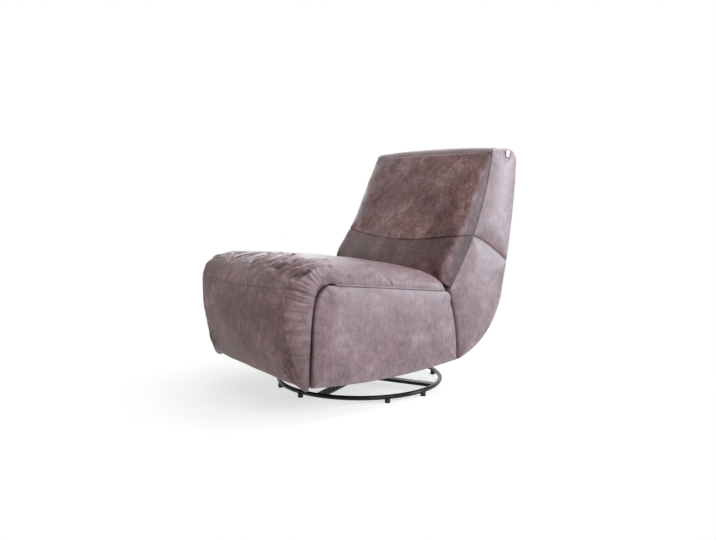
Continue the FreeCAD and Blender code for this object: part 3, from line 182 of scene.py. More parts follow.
# %% [markdown]
# ## Floor, world and lamps
# A studio picture on white has soft light and no horizon. The floor is a pale diffuse sheet that keeps
# the shadow near the chair, and further out it glows white for rays that the camera sees. The key lamp is
# large and stands high at the right of the picture, because the side of the chair is bright and its front
# is dark. Three smaller cool lamps stand where the wing, the seat's shoulder and the front roll mirror
# them, and give the waxed leather its sheen. Two more fill the front and the rear.

# %% Studio
FLOOR_HALF = 14
scene = bpy.context.scene
floor_mesh = bpy.data.meshes.new("floor")
floor_corners = [(x * FLOOR_HALF, y * FLOOR_HALF, 0) for x, y in ((-1, -1), (1, -1), (1, 1), (-1, 1))]
floor_mesh.from_pydata(floor_corners, [], [(0, 1, 2, 3)])
floor = bpy.data.objects.new("floor", floor_mesh)
scene.collection.objects.link(floor)


def seen_rays(tree):
    """1 for rays that show the background: straight from the camera, in gloss, or through glass."""
    rays = put(tree, "ShaderNodeLightPath").outputs
    shiny = calc(tree, "MAXIMUM", rays["Is Camera Ray"], rays["Is Glossy Ray"])
    return calc(tree, "MAXIMUM", shiny, rays["Is Transmission Ray"])


FLOOR_GLOW = 0.66
SHADOW_REACH = (0.50, 1.10)  # the floor turns from shaded to plain white between these distances
FLOOR_GREY = (0.56, 0.56, 0.56, 1.0)
floor_material, tree, _ = new_material("studio_floor")
tree.nodes.clear()
seen = seen_rays(tree)
spot = put(tree, "ShaderNodeTexCoord").outputs["Object"]
away = put(tree, "ShaderNodeVectorMath", {0: spot}, operation="LENGTH").outputs["Value"]
paint = put(tree, "ShaderNodeBsdfDiffuse", {"Color": FLOOR_GREY}).outputs[0]
glow = put(tree, "ShaderNodeEmission", {"Strength": calc(tree, "MULTIPLY", seen, FLOOR_GLOW)}).outputs[0]
near_floor = put(tree, "ShaderNodeAddShader", {0: paint, 1: glow}).outputs[0]
white = put(tree, "ShaderNodeEmission", {"Strength": 1.0}).outputs[0]
far_share = calc(tree, "MULTIPLY", seen, stretch(tree, away, SHADOW_REACH[0], SHADOW_REACH[1]))
put(tree, "ShaderNodeOutputMaterial",
    {"Surface": put(tree, "ShaderNodeMixShader", {0: far_share, 1: near_floor, 2: white}).outputs[0]})
floor_mesh.materials.append(floor_material)

WORLD_LIGHT = 0.22
world = bpy.data.worlds.new("studio")
scene.world = world
world.use_nodes = True
tree = world.node_tree
tree.nodes.clear()
strength = stretch(tree, seen_rays(tree), 0.0, 1.0, WORLD_LIGHT, 1.0)
sky = put(tree, "ShaderNodeBackground", {"Color": (1, 1, 1, 1), "Strength": strength})
put(tree, "ShaderNodeOutputWorld", {"Surface": sky.outputs[0]})

AIM = Vector((0.0, 0.0, 0.45))
LAMPS = (  # name, place, width, watts, colour
    ("key", (3.2, -0.2, 2.2), 2.0, 54.0, (1.0, 0.98, 0.97)),
    ("sheen", (2.35, 2.55, 1.05), 1.0, 72.0, (0.74, 0.88, 1.0)),
    ("top", (0.6, 1.5, 3.0), 1.6, 47.0, (0.80, 0.91, 1.0)),
    ("left", (-2.6, 0.9, 1.3), 1.2, 16.0, (0.80, 0.90, 1.0)),
    ("front", (-0.6, -3.6, 2.0), 2.6, 5.0, (1.0, 0.96, 0.92)),
    ("rear", (-2.0, 3.0, 2.4), 2.4, 34.0, (1.0, 1.0, 1.0)),
)
for name, place, width, watts, colour in LAMPS:
    lamp = bpy.data.lights.new(name, "AREA")
    lamp.size = width
    lamp.energy = watts
    lamp.color = colour
    holder = bpy.data.objects.new(name, lamp)
    scene.collection.objects.link(holder)
    holder.location = place
    holder.rotation_euler = (AIM - Vector(place)).to_track_quat("-Z", "Y").to_euler()
print("lamps", [entry[0] for entry in LAMPS])

# %% [markdown]
# ## Worn leather
# The hide is brown with a mauve cast, waxed and rubbed: large clouds, smaller mottling and fine pale
# scratches, paler where it is rubbed and darker in the seams. The same fields also carry painted shade in
# the valleys of folds and puckers and a painted highlight on the ridges of folds. All of this is one node
# group, so every panel is cut from the same hide. It reads the place at rest that each mesh stores, so the
# pattern stays on the leather when the chair moves. The faces that turn away from the key lamp get darker,
# redder tones, which is painted shade.

# %% Leather groups
tone, given, give = new_group("worn_hide", ("Deep", "Middle", "Pale"), ("Seam", "Wear and highlight"),
                              ("Colour", "Roughness"))
clouds = noise(tone, given["Place"], 8.0, 3.0, 0.5, 0.3)
mottle = noise(tone, given["Place"], 34.0, 5.0, 0.6, 0.4)
fine = noise(tone, given["Place"], 210.0, 4.0, 0.7)
upright = noise(tone, scaled(tone, given["Place"], 1.0, 1.0, 0.24), 150.0, 4.0, 0.6, 0.2)
hide = mixture(tone, (clouds, 0.28), (mottle, 0.26), (fine, 0.24), (upright, 0.22))
low_half = blend_colour(tone, stretch(tone, hide, 0.40, 0.51), given["Deep"], given["Middle"])
colour = blend_colour(tone, stretch(tone, hide, 0.49, 0.62), low_half, given["Pale"])
vein = noise(tone, scaled(tone, given["Place"], 1.0, 1.0, 0.45), 85.0, 2.0, 0.5, 0.8)
vein = stretch(tone, calc(tone, "ABSOLUTE", calc(tone, "SUBTRACT", vein, 0.5)), 0.0, 0.012, 1.0, 0.0)
scratched = calc(tone, "MULTIPLY", vein, stretch(tone, mottle, 0.50, 0.62))
colour = blend_colour(tone, calc(tone, "MULTIPLY", scratched, 0.40), colour, given["Pale"])
# Paler where the rubbed field is high: worn edges, and on the seat also the ridges of folds, where the
# paleness is a painted highlight.
rubbed = calc(tone, "MULTIPLY", given["Wear and highlight"], stretch(tone, mottle, 0.38, 0.62, 0.45, 1.0))
colour = blend_colour(tone, calc(tone, "MULTIPLY", rubbed, 0.5), colour, given["Pale"])
# Darker where the seam field is high: along the seams, and on the seat also painted shade in the valleys of
# folds, puckers and creases and in the mouth where the side seam ends.
colour = blend_colour(tone, calc(tone, "MULTIPLY", given["Seam"], 0.72), colour, screen(44, 33, 33))
sheen = stretch(tone, hide, 0.40, 0.60, 0.39, 0.52)
sheen = calc(tone, "SUBTRACT", sheen, calc(tone, "MULTIPLY", rubbed, 0.05))
plug(tone, give, {"Colour": colour, "Roughness": sheen})

grain, given, give = new_group("hide_grain", (), (), ("Height",))
cells = put(grain, "ShaderNodeTexVoronoi", {"Vector": given["Place"], "Scale": 520.0, "Randomness": 1.0},
            feature="DISTANCE_TO_EDGE").outputs["Distance"]
pebble = stretch(grain, cells, 0.0, 0.32)
veins = noise(grain, given["Place"], 120.0, 5.0, 0.62, 0.8)
soft = noise(grain, given["Place"], 26.0, 3.0, 0.5)
plug(grain, give, {"Height": mixture(grain, (pebble, 0.35), (veins, 0.55), (soft, 0.6))})

FRONT_WAX = 0.05  # wax that is left where the front shade is 1, on the faces painted in darker tones of shade, because those faces are rubbed most
WAX_ROUGHNESS = 0.38


def leather(name, tones, shaded_tones=None, wax=0.42, shine=0.5):
    """Worn leather in deep, middle and pale tones, with painted shade tones where the front shade is 1."""
    material, tree, shader = new_material(name)
    place = stored(tree, "rest_place", "Vector")
    colours = [screen(*colour) for colour in tones]
    if shaded_tones:
        shade_mask = stored(tree, "front")
        colours = [blend_colour(tree, shade_mask, colour, screen(*other))
                   for colour, other in zip(colours, shaded_tones)]
        wax = stretch(tree, shade_mask, 0.0, 1.0, wax, FRONT_WAX)
    deep, middle, pale = colours
    worn = put(tree, "ShaderNodeGroup",
               {"Place": place, "Deep": deep, "Middle": middle, "Pale": pale,
                "Seam": stored(tree, "seam"), "Wear and highlight": stored(tree, "wear_and_highlight")}, node_tree=tone).outputs
    pores = put(tree, "ShaderNodeGroup", {"Place": place}, node_tree=grain).outputs
    plug(tree, shader, {"Base Color": worn["Colour"], "Roughness": worn["Roughness"],
                        "Specular IOR Level": shine, "Coat Weight": wax, "Coat Roughness": WAX_ROUGHNESS,
                        "Normal": bumped(tree, pores["Height"], 0.5, 0.0011)})
    return material


MAIN_TONES = ((112, 86, 88), (139, 112, 115), (168, 144, 149))
# Darker, redder tones of painted shade for the faces that turn away from the key lamp, and darker still for
# the lower pad of the back, below the lumbar seam.
SHADED_FRONT_TONES = ((78, 47, 45), (132, 94, 91), (202, 165, 163))
SHADED_LUMBAR_TONES = ((64, 37, 36), (100, 66, 65), (156, 120, 119))
leather_main = leather("worn_leather", MAIN_TONES)
leather_seat = leather("worn_leather_seat", MAIN_TONES, SHADED_FRONT_TONES, 0.26, 0.32)
leather_front = leather("worn_leather_front", MAIN_TONES, SHADED_FRONT_TONES, 0.10, 0.30)
shaded_leather_lumbar = leather("worn_leather_lumbar_shaded", MAIN_TONES, SHADED_LUMBAR_TONES, 0.10, 0.25)
print("leather finishes", [m.name for m in (leather_main, leather_seat, leather_front, shaded_leather_lumbar)])

# %% [markdown]
# ## Sheets of leather as grids
# Every panel is a grid of points: rows run along it and columns across. A grid is easy to crown, to
# crease along a line and to close at the back, and its points stay in order, so a seam can follow a row.


# %% Grid helpers
def swell(share, power=2.3):
    """Rounded edge: 0 at share 0, rising steeply and level at share 1."""
    return (1 - (1 - np.clip(share, 0, 1)) ** power) ** (1 / power)


def bell(offset, width):
    """1 at offset 0, falling off smoothly on both sides."""
    return np.exp(-(offset / width) ** 2)


def smooth(values, reach):
    """Gaussian smoothing along the first axis with the two ends held."""
    width = int(3 * reach) + 1
    kernel = np.exp(-0.5 * (np.arange(-width, width + 1) / reach) ** 2)
    kernel /= kernel.sum()
    head = 2 * values[0] - values[width:0:-1]
    tail = 2 * values[-1] - values[-2:-width - 2:-1]
    padded = np.concatenate([head, values, tail])
    return np.stack([np.convolve(c, kernel, "valid") for c in padded.T], 1)


def lengths(points):
    """Length from the first point to each point along a line."""
    return np.r_[0, np.cumsum(np.linalg.norm(np.diff(points, axis=0), axis=1))]


def sample(where, along, columns):
    """Values of each column at new places along it."""
    return np.stack([np.interp(where, along, column) for column in columns.T], 1)


def unit(vectors):
    return vectors / np.linalg.norm(vectors, axis=-1, keepdims=True)


def resample(points, count, gather=0.0):
    """count points along a line, evenly spread; gather draws them towards the two ends."""
    points = np.asarray(points, float)
    along = lengths(points)
    share = np.linspace(0, 1, count)
    share = (1 - gather) * share + gather * (0.5 - 0.5 * np.cos(np.pi * share))
    return sample(share * along[-1], along, points)


def arc(start, via, end, count=40):
    """Points of the circle's arc through three points of a plane."""
    (ax, ay), (bx, by), (cx, cy) = start, via, end
    d = 2 * (ax * (by - cy) + bx * (cy - ay) + cx * (ay - by))
    a2, b2, c2 = ax * ax + ay * ay, bx * bx + by * by, cx * cx + cy * cy
    centre = np.array([(a2 * (by - cy) + b2 * (cy - ay) + c2 * (ay - by)) / d,
                       (a2 * (cx - bx) + b2 * (ax - cx) + c2 * (bx - ax)) / d])
    radius = math.dist(centre, start)
    first, middle, last = (math.atan2(p[1] - centre[1], p[0] - centre[0]) for p in (start, via, end))
    turn = (last - first) % (2 * math.pi)
    if (middle - first) % (2 * math.pi) > turn:
        turn -= 2 * math.pi
    angles = first + np.linspace(0, 1, count) * turn
    return centre + radius * np.stack([np.cos(angles), np.sin(angles)], 1)


def patch(foot, head, left, right, rows, columns, gather=0.45):
    """Grid between four edges. foot and head run left to right, left and right run upwards."""
    foot, head = resample(foot, columns, gather), resample(head, columns, gather)
    left, right = resample(left, rows, gather), resample(right, rows, gather)
    u = (lengths(foot) / lengths(foot)[-1])[None, :, None]
    v = (lengths(left) / lengths(left)[-1])[:, None, None]
    sides = (1 - u) * left[:, None] + u * right[:, None]
    ends = (1 - v) * foot[None] + v * head[None]
    corners = ((1 - u) * (1 - v) * foot[0] + u * (1 - v) * foot[-1]
               + (1 - u) * v * head[0] + u * v * head[-1])
    return sides + ends - corners


def distance(grid, line):
    """Distance of each grid point to a line of points."""
    a, b = line[:-1], line[1:]
    flat = grid.reshape(-1, 1, grid.shape[-1])
    span = b - a
    share = np.clip(((flat - a) * span).sum(-1) / np.maximum((span ** 2).sum(-1), 1e-12), 0, 1)
    near = a + share[..., None] * span
    return np.linalg.norm(flat - near, axis=-1).min(1).reshape(grid.shape[:-1])


def normals(grid):
    """Unit normals of a grid, on the side of rows crossed with columns."""
    n = np.cross(np.gradient(grid, axis=0), np.gradient(grid, axis=1))
    return n / np.maximum(np.linalg.norm(n, axis=-1, keepdims=True), 1e-9)


def ripple(grid, size, height, seed):
    """Low random swelling of hand-stuffed padding, as a height for each grid point."""
    draw = random.Random(seed)
    total = np.zeros(grid.shape[:-1])
    for _ in range(9):
        wave = np.array([draw.gauss(0, 1) for _ in range(3)]) / size
        total += np.sin(grid @ wave * 2.2 + draw.uniform(0, 6.28))
    return height * total / 3


def placed(x, depth_height):
    """Grid of points from the width of each and its depth and height."""
    return np.concatenate([x[..., None], depth_height], -1)


def leather_object(name, points, faces, material, fields):
    """Piece from points and faces. fields are values from 0 to 1 at each point, for the material."""
    mesh = bpy.data.meshes.new(name)
    mesh.from_pydata(points.tolist(), [], faces)
    for label, values in fields.items():
        layer = mesh.attributes.new(label, "FLOAT", "POINT")
        layer.data.foreach_set("value", np.clip(values, 0, 1).astype(np.float32))
    place = mesh.attributes.new("rest_place", "FLOAT_VECTOR", "POINT")
    place.data.foreach_set("vector", points.ravel().astype(np.float32))
    mesh.polygons.foreach_set("use_smooth", [True] * len(mesh.polygons))
    mesh.materials.append(material)
    mesh.update()
    piece = bpy.data.objects.new(name, mesh)
    scene.collection.objects.link(piece)
    return piece


def grid_object(name, front, back, material, seam=None, wear_and_highlight=None, flip=False, shade_mask=None):
    """Closed piece from a front grid and a back grid of the same size, joined round their edges."""
    rows, columns = front.shape[:2]
    count = rows * columns
    index = np.arange(count).reshape(rows, columns)
    quads = np.stack([index[:-1, :-1], index[:-1, 1:], index[1:, 1:], index[1:, :-1]], -1).reshape(-1, 4)
    rim = np.concatenate([index[0, :-1], index[:-1, -1], index[-1, :0:-1], index[:0:-1, 0]])
    onward = np.roll(rim, -1)
    walls = np.stack([onward, rim, rim + count, onward + count], -1)
    faces = np.concatenate([quads, quads[:, ::-1] + count, walls])
    if flip:
        faces = faces[:, ::-1]
    points = np.concatenate([front.reshape(-1, 3), back.reshape(-1, 3)])
    fields = {}
    # The seam field holds darker seam lines and, on the seat, painted shade in creases; the second field
    # holds worn edges and, on the seat, a painted highlight on fold ridges; the front field blends in the
    # darker tones of painted shade.
    for label, field in (("seam", seam), ("wear_and_highlight", wear_and_highlight), ("front", shade_mask)):
        if field is not None:
            fields[label] = np.tile(field.ravel(), 2)
    return leather_object(name, points, faces.tolist(), material, fields)


SIDES = (("left", 1), ("right", -1))  # the sitter's left and right, and the sign of the width there
SEWN = 0.006  # width of the border that is held when a sheet settles

# %% [markdown]
# ## Leather that settles over its padding
# Real leather is cut a little larger than the foam, so between its seams it swells and wrinkles. A short
# cloth simulation finds that shape: the grid is a sheet pinned along its seams, foam presses on it from
# inside, and its springs are a little longer than the grid. The movement is capped, and most of the broad
# swelling is taken off again, because the grid already has the crown of the cushion. What stays is the
# slack between the seams.


# %% Cloth helper
CLOTH_FRAMES = 20
CLOTH_STEP = 2  # the simulated sheet takes every second point of the grid
BROAD_REACH = 6.0  # swelling wider than this number of points counts as broad
CLOTH = {"quality": 4, "mass": 0.2, "tension_stiffness": 12.0, "compression_stiffness": 12.0,
         "shear_stiffness": 4.0, "bending_stiffness": 0.4, "air_damping": 4.0, "use_pressure": True}


def settle(label, grid, pins, loose, outward=1, slack=0.03, pressure=4.0, cap=0.026, keep=0.2):
    """Height that each grid point gains when the sheet settles.

    pins is 1 where the sheet is sewn, loose is 1 where it is slack.
    """
    picks = [np.unique(np.r_[np.arange(0, count, CLOTH_STEP), count - 1]) for count in grid.shape[:2]]
    coarse = grid[np.ix_(*picks)]
    fields = {"sewn": pins, "loose": loose + np.zeros(grid.shape[:-1])}
    rows, columns = coarse.shape[:2]
    index = np.arange(rows * columns).reshape(rows, columns)
    quads = np.stack([index[:-1, :-1], index[1:, :-1], index[1:, 1:], index[:-1, 1:]], -1).reshape(-1, 4)
    mesh = bpy.data.meshes.new(label)
    mesh.from_pydata(coarse.reshape(-1, 3).tolist(), [], quads[:, ::outward].tolist())
    sheet = bpy.data.objects.new(label, mesh)
    scene.collection.objects.link(sheet)
    for name, field in fields.items():
        weights = np.clip(field[np.ix_(*picks)], 0, 1).ravel()
        group = sheet.vertex_groups.new(name=name)
        for number in np.flatnonzero(weights > 0.01).tolist():
            group.add([number], float(weights[number]), "REPLACE")
    cloth = sheet.modifiers.new("settle", "CLOTH")
    settings = CLOTH | {"uniform_pressure_force": pressure, "shrink_min": 0.0, "shrink_max": -slack,
                        "vertex_group_shrink": "loose", "vertex_group_mass": "sewn"}
    for name, value in settings.items():
        setattr(cloth.settings, name, value)
    cloth.settings.effector_weights.gravity = 0.0
    cloth.collision_settings.use_collision = False
    cloth.point_cache.frame_end = CLOTH_FRAMES
    for number in range(1, CLOTH_FRAMES + 1):
        scene.frame_set(number)
    moved = np.empty(rows * columns * 3, np.float32)
    sheet.evaluated_get(bpy.context.evaluated_depsgraph_get()).data.vertices.foreach_get("co", moved)
    scene.frame_set(1)
    bpy.data.objects.remove(sheet)
    bpy.data.meshes.remove(mesh)
    height = ((moved.reshape(coarse.shape) - coarse) * outward * normals(coarse)).sum(-1)
    broad = smooth(smooth(height, BROAD_REACH).T, BROAD_REACH).T
    height = keep * broad + (height - broad)
    height = cap * np.tanh(height / cap)
    print("settled", label, coarse.shape[:2], "from", height.min().round(4), "to", height.max().round(4))
    height = sample(np.arange(grid.shape[0]), picks[0], height)
    return sample(np.arange(grid.shape[1]), picks[1], height.T).T


# %% [markdown]
# ## The outlines that part and scene share
# The side, the back and the flap have the outlines of the CAD solids, written here in metres as depth and
# height.

# %% Outlines
HALF_BODY = 0.362
PAD_OUT = 0.360
BOARD_OUT = 0.302
BOARD_IN = 0.284
BOARD_GAP = 0.0003  # leather lies this far off the boards
WING_IN = 0.306
BACK_TOP = 0.888
BACK_FOOT = 0.124
BACK_TAPER = 0.016
SEAM_FRONT = (-0.374, 0.439)
SEAM_REAR = (0.132, 0.380)
SIDE_FRONT = -0.426
PIVOT = np.array((0.184, 0.134))
CREASE_POINT = (0.137, 0.380)  # the front seam of the back starts here, beside the crease
front_seam = arc(CREASE_POINT, (0.264, 0.600), (0.349, BACK_TOP), 120)


def seam_depth(height):
    """Depth of the seam between the front and the side of the back at that height."""
    return np.interp(height, front_seam[:, 1], front_seam[:, 0])


def back_half(height):
    """Half width of the back at that height."""
    return HALF_BODY - BACK_TAPER * (height - BACK_FOOT) / (BACK_TOP - BACK_FOOT)


def seat_seam(depth):
    """Height of the seam between seat and side at that depth."""
    share = (depth - SEAM_FRONT[0]) / (SEAM_REAR[0] - SEAM_FRONT[0])
    return SEAM_FRONT[1] + share * (SEAM_REAR[1] - SEAM_FRONT[1])


print("front seam of the back", [tuple(p.round(3)) for p in front_seam[[0, 60, -1]]])

# %% [markdown]
# ## Seat, front roll and flap
# One hide runs from the crease at the back over the seat, round the front roll and down the flap. It is
# drawn as rows along that path: each row has an edge point, a direction in which the padding swells, a
# crown in the middle and a rounded shoulder at the sides. It is one piece, and its rows lie closer round
# the front roll.

# %% Seat rows
SEAT_ROWS = (  # edge depth and height, turn of the padding, crown, shoulder, its width, half width
    (0.1225, 0.3815, 33, 0.004, 0.004, 0.040, 0.350),
    (0.1205, 0.3815, 32, 0.030, 0.024, 0.050, 0.350),
    (0.1180, 0.3820, 30, 0.056, 0.045, 0.056, 0.350),
    (0.1080, 0.3830, 20, 0.068, 0.054, 0.060, 0.352),
    (0.085, 0.386, 8, 0.070, 0.058, 0.066, 0.354),
    (0.045, 0.390, 2, 0.072, 0.061, 0.070, 0.356),
    (-0.010, 0.397, 0, 0.074, 0.064, 0.072, 0.357),
    (-0.060, 0.402, 0, 0.075, 0.065, 0.072, 0.357),
    (-0.125, 0.410, 0, 0.076, 0.067, 0.074, 0.357),
    (-0.190, 0.418, 0, 0.081, 0.072, 0.075, 0.357),
    (-0.264, 0.426, 0, 0.078, 0.068, 0.075, 0.357),
    (-0.330, 0.434, 4, 0.072, 0.064, 0.064, 0.357),
    (-0.366, 0.443, 16, 0.062, 0.058, 0.050, 0.356),
    (-0.396, 0.434, 40, 0.073, 0.071, 0.044, 0.355),
    (-0.412, 0.418, 58, 0.082, 0.080, 0.044, 0.354),
    (-0.421, 0.391, 74, 0.085, 0.082, 0.048, 0.353),
    (-0.427, 0.352, 86, 0.083, 0.079, 0.054, 0.352),
    (-0.431, 0.300, 90, 0.079, 0.074, 0.056, 0.349),
    (-0.432, 0.240, 92, 0.069, 0.064, 0.058, 0.346),
    (-0.433, 0.180, 96, 0.054, 0.049, 0.058, 0.342),
    (-0.434, 0.140, 100, 0.041, 0.036, 0.056, 0.339),
    (-0.434, 0.113, 104, 0.024, 0.020, 0.050, 0.337),
)
ROW_STEP = 0.0052
BEND_STEP = 0.0030
FINE_STEP = 0.002
HEM = 0.012  # the last rows of the flap lie closer, to round its hem
HEM_ROWS = 8
ROW_SMOOTHING = 0.011


def crown_of(rows):
    """Middle line of the cover: each row's edge point moved along its direction by its crown."""
    turn = np.radians(rows[:, 2])
    return rows[:, :2] + rows[:, 3:4] * np.stack([-np.sin(turn), np.cos(turn)], 1)


table = np.array(SEAT_ROWS, float)
rough_length = lengths(crown_of(table))
fine_length = np.arange(0, rough_length[-1], FINE_STEP)
table = sample(fine_length, rough_length, table)
table = smooth(table, ROW_SMOOTHING / FINE_STEP)
crown_line = crown_of(table)
crown_length = lengths(crown_line)
sheet_end = crown_length[-1]


def on_sheet(depth, height):
    """Place along the cover of the point of its middle line that is nearest to a depth and height."""
    return crown_length[np.argmin(np.hypot(crown_line[:, 0] - depth, crown_line[:, 1] - height))]


bend_first = on_sheet(-0.11, 0.485)
bend_last = on_sheet(-0.510, 0.380)
rows_s = np.r_[np.arange(0, bend_first, ROW_STEP), np.arange(bend_first, bend_last, BEND_STEP),
               np.arange(bend_last, sheet_end - HEM, ROW_STEP), sheet_end - np.linspace(HEM, 0, HEM_ROWS)]
seat = sample(rows_s, crown_length, table)
turn = np.radians(seat[:, 2])
corner_s = on_sheet(-0.392, 0.498)
flap_s = on_sheet(-0.510, 0.345)
print("seat rows", len(rows_s), "path", round(sheet_end, 3), "m, corner", round(corner_s, 3))


# %% Seat surface
def across(half, width, depth, power, shoulder_columns, middle_columns):
    """Share of the half width at each column, evenly spread along a rounded shoulder and the middle."""
    inset = np.linspace(0, 1, 2000) ** 3
    profile = np.stack([width * inset, depth * swell(inset, power)], 1)
    along = lengths(profile)
    picks = np.interp(np.linspace(0, along[-1], shoulder_columns), along, profile[:, 0])
    middle = np.linspace(1 - width / half, 0, middle_columns // 2 + 1)
    side = np.r_[1 - picks / half, middle[1:]]
    return np.r_[-side, side[-2::-1]]


SHOULDER_POWER = 2.4
ROLL_POWER = 0.9  # the front roll is boxier
FOOT_ROUND = 0.034
FOOT_CORNER = 0.016
columns_u = across(half=0.356, width=0.075, depth=0.066, power=SHOULDER_POWER, shoulder_columns=26,
                   middle_columns=160)
REAR_UPRIGHT = 0.9  # near the sides the rear of the seat stands upright, so that it meets the back
from_end = sheet_end - rows_s
foot = swell(from_end / FOOT_ROUND)
half = seat[:, 6] - FOOT_CORNER * (1 - swell(from_end / FOOT_CORNER))
seat_x = half[:, None] * columns_u[None, :]
inset = half[:, None] - np.abs(seat_x)
roll_share = bell(rows_s - corner_s - 0.03, 0.09)[:, None]
shoulder_share = swell(inset / seat[:, 5:6], SHOULDER_POWER + ROLL_POWER * roll_share)
middle_share = 1 - (np.abs(seat_x) / np.maximum(half[:, None] - seat[:, 5:6], 1e-6)).clip(0, 1) ** 2
height = seat[:, 4:5] * shoulder_share + (seat[:, 3:4] - seat[:, 4:5]) * middle_share
height *= foot[:, None]
rear_upright = REAR_UPRIGHT * np.exp(-inset / 0.06) * (rows_s < 0.25)[:, None]
lean = turn[:, None] * (1 - rear_upright)
seat_out = np.stack([np.zeros_like(lean), -np.sin(lean), np.cos(lean)], -1)
edge_line = np.stack([np.zeros(len(seat)), seat[:, 0], seat[:, 1]], 1)
EDGE_LIFT = 0.007  # the seam opens a little at its front end
TIP_DROP = 0.012  # the lower corners of the flap hang a little
seat_top = edge_line[:, None] + height[..., None] * seat_out
seat_top[..., 0] = seat_x
tip = TIP_DROP * bell(inset, 0.026) * bell(from_end, 0.045)[:, None]
opened = EDGE_LIFT * bell(rows_s - corner_s + 0.018, 0.026)
seat_top[..., 2] += opened[:, None] * np.exp(-inset / 0.012) - tip
print("seat grid", seat_top.shape)


# %% [markdown]
# ### Seams, folds and puckers
# A seam is a narrow valley along a row. A fold is a valley with a ridge on each side, along a short line,
# with painted shade in its depth and its ridges painted paler, partly as rubbed leather and partly as a
# painted highlight. Puckers are a row of small folds that start at a gathered edge and die out in the
# panel, with painted shade in their valleys. Their shapes are moved into the mesh, so that they also catch
# the light from other sides.


# %% Crease helpers
def crease(across_sheet, along_sheet, points, depth, width):
    """Valley with a soft ridge on each side along a curved line, and the shares of valley and ridge."""
    line = resample(smooth(resample(points, 30), 3.0), 30)
    place = np.stack([across_sheet, along_sheet], -1)
    off = distance(place, line)
    ends = np.minimum(np.linalg.norm(place - line[0], axis=-1), np.linalg.norm(place - line[-1], axis=-1))
    fade = np.clip(ends / (0.2 * lengths(line)[-1]), 0, 1) ** 0.7
    valley = bell(off, width) * fade
    ridge = bell(off - 2.1 * width, 1.2 * width) * fade
    return depth * (0.55 * ridge - valley), valley, ridge


def puckers(s, inset, start, end, seed, pitch, reach, depth):
    """Small folds square to an edge, between two places along it."""
    draw = random.Random(seed)
    total = np.zeros(s.shape)
    here = start + pitch * draw.uniform(0.2, 0.8)
    while here < end:
        length = reach * draw.uniform(0.6, 1.5)
        slant = draw.uniform(-0.25, 0.25)
        width = pitch * draw.uniform(0.20, 0.34)
        strength = depth * draw.uniform(0.5, 1.25)
        fade = np.exp(-(inset / length) ** 1.6) * swell(inset / 0.006)
        total -= strength * fade * bell(s - here - slant * inset, width)
        here += pitch * draw.uniform(0.7, 1.4)
    return total


# %% Seat seams
sheet_s = np.repeat(rows_s[:, None], len(columns_u), 1)
CROSS_TOP = (-0.190, 0.498)  # depth and height of the cross seam in the middle
CROSS_BACKWARD = 0.072  # the cross seam runs this much further back down the side
CROSS_DEPTH = 0.0042
CROSS_SWELL = 0.0026  # the padding rises beside the cross seam
FLAP_SEAM = (-0.508, 0.414)
FLAP_SEAM_DEPTH = 0.0018
FLAP_SEAM_RISE = 0.026  # the seam of the flap rises by this much towards the sitter's left
GATHERED = {1: 0.85, -1: 0.12}  # share of the gathers at the sitter's left and right
cross_s = on_sheet(*CROSS_TOP) - CROSS_BACKWARD * np.exp(-inset / 0.018)
seam_s = on_sheet(*FLAP_SEAM) - FLAP_SEAM_RISE * (np.clip(seat_x, 0, None) / 0.34) ** 1.5
lift = ripple(seat_top, size=0.10, height=0.0018, seed=3)
# Darker seam lines, and painted shade in the valleys of puckers, folds and creases and in the mouth.
seam_line_and_shade = np.zeros(sheet_s.shape)
lift -= CROSS_DEPTH * bell(sheet_s - cross_s, 0.0042)
lift += CROSS_SWELL * bell(sheet_s - cross_s, 0.026)
seam_line_and_shade += 0.95 * bell(sheet_s - cross_s, 0.0032)
lift -= FLAP_SEAM_DEPTH * bell(sheet_s - seam_s, 0.0045)
seam_line_and_shade += 0.60 * bell(sheet_s - seam_s, 0.0026)
for side in (-1, 1):
    edge_in = np.where(seat_x * side > 0, inset, 1.0)
    gathers = puckers(sheet_s, edge_in, corner_s + 0.02, sheet_end - 0.02, 11 + side,
                      pitch=0.019, reach=0.036, depth=0.0046)
    gathers += puckers(sheet_s, edge_in, corner_s + 0.02, sheet_end - 0.05, 31 + side,
                       pitch=0.038, reach=0.070, depth=0.0036)
    lift += GATHERED[side] * gathers
    # painted shade in the valleys of the gathers
    seam_line_and_shade += 0.35 * GATHERED[side] * np.clip(-gathers / 0.005, 0, 1) ** 2
    lift += puckers(sheet_s, edge_in, 0.10, corner_s - 0.03, 51 + side,
                    pitch=0.060, reach=0.022, depth=0.0012)
print("cross seam at", round(float(cross_s.max()), 3), "flap seam at", round(float(seam_s.max()), 3))

# %% Folds of the front bend
FOLDS = (  # depth and width of a fold, then its line as width and place along the sheet
    (0.0052, 0.0062, (0.192, 0.627), (0.221, 0.591), (0.239, 0.558), (0.236, 0.474)),
    (0.0046, 0.0056, (0.144, 0.618), (0.158, 0.588), (0.099, 0.516)),
    (0.0040, 0.0056, (0.046, 0.591), (0.046, 0.561), (-0.035, 0.486)),
    (0.0042, 0.0050, (0.164, 0.624), (0.203, 0.606), (0.207, 0.579), (0.179, 0.525)),
    (0.0030, 0.0054, (0.000, 0.622), (0.018, 0.600), (0.010, 0.560)),
    (0.0044, 0.0058, (0.273, 0.639), (0.303, 0.618), (0.330, 0.573), (0.325, 0.513)),
    (0.0032, 0.0046, (0.305, 0.655), (0.324, 0.630), (0.336, 0.606)),
    (0.0032, 0.0046, (0.330, 0.650), (0.339, 0.612), (0.336, 0.582)),
    (0.0034, 0.0060, (0.090, 0.600), (0.104, 0.556), (0.042, 0.465)),
    (0.0034, 0.0050, (0.232, 0.640), (0.262, 0.600), (0.282, 0.540)),
)
RIGHT_FOLD_SHARE = 0.25  # the folds are weaker on the sitter's right
FOLD_DEPTH = 2.6  # all folds are deepened and widened by these shares
FOLD_WIDTH = 1.4
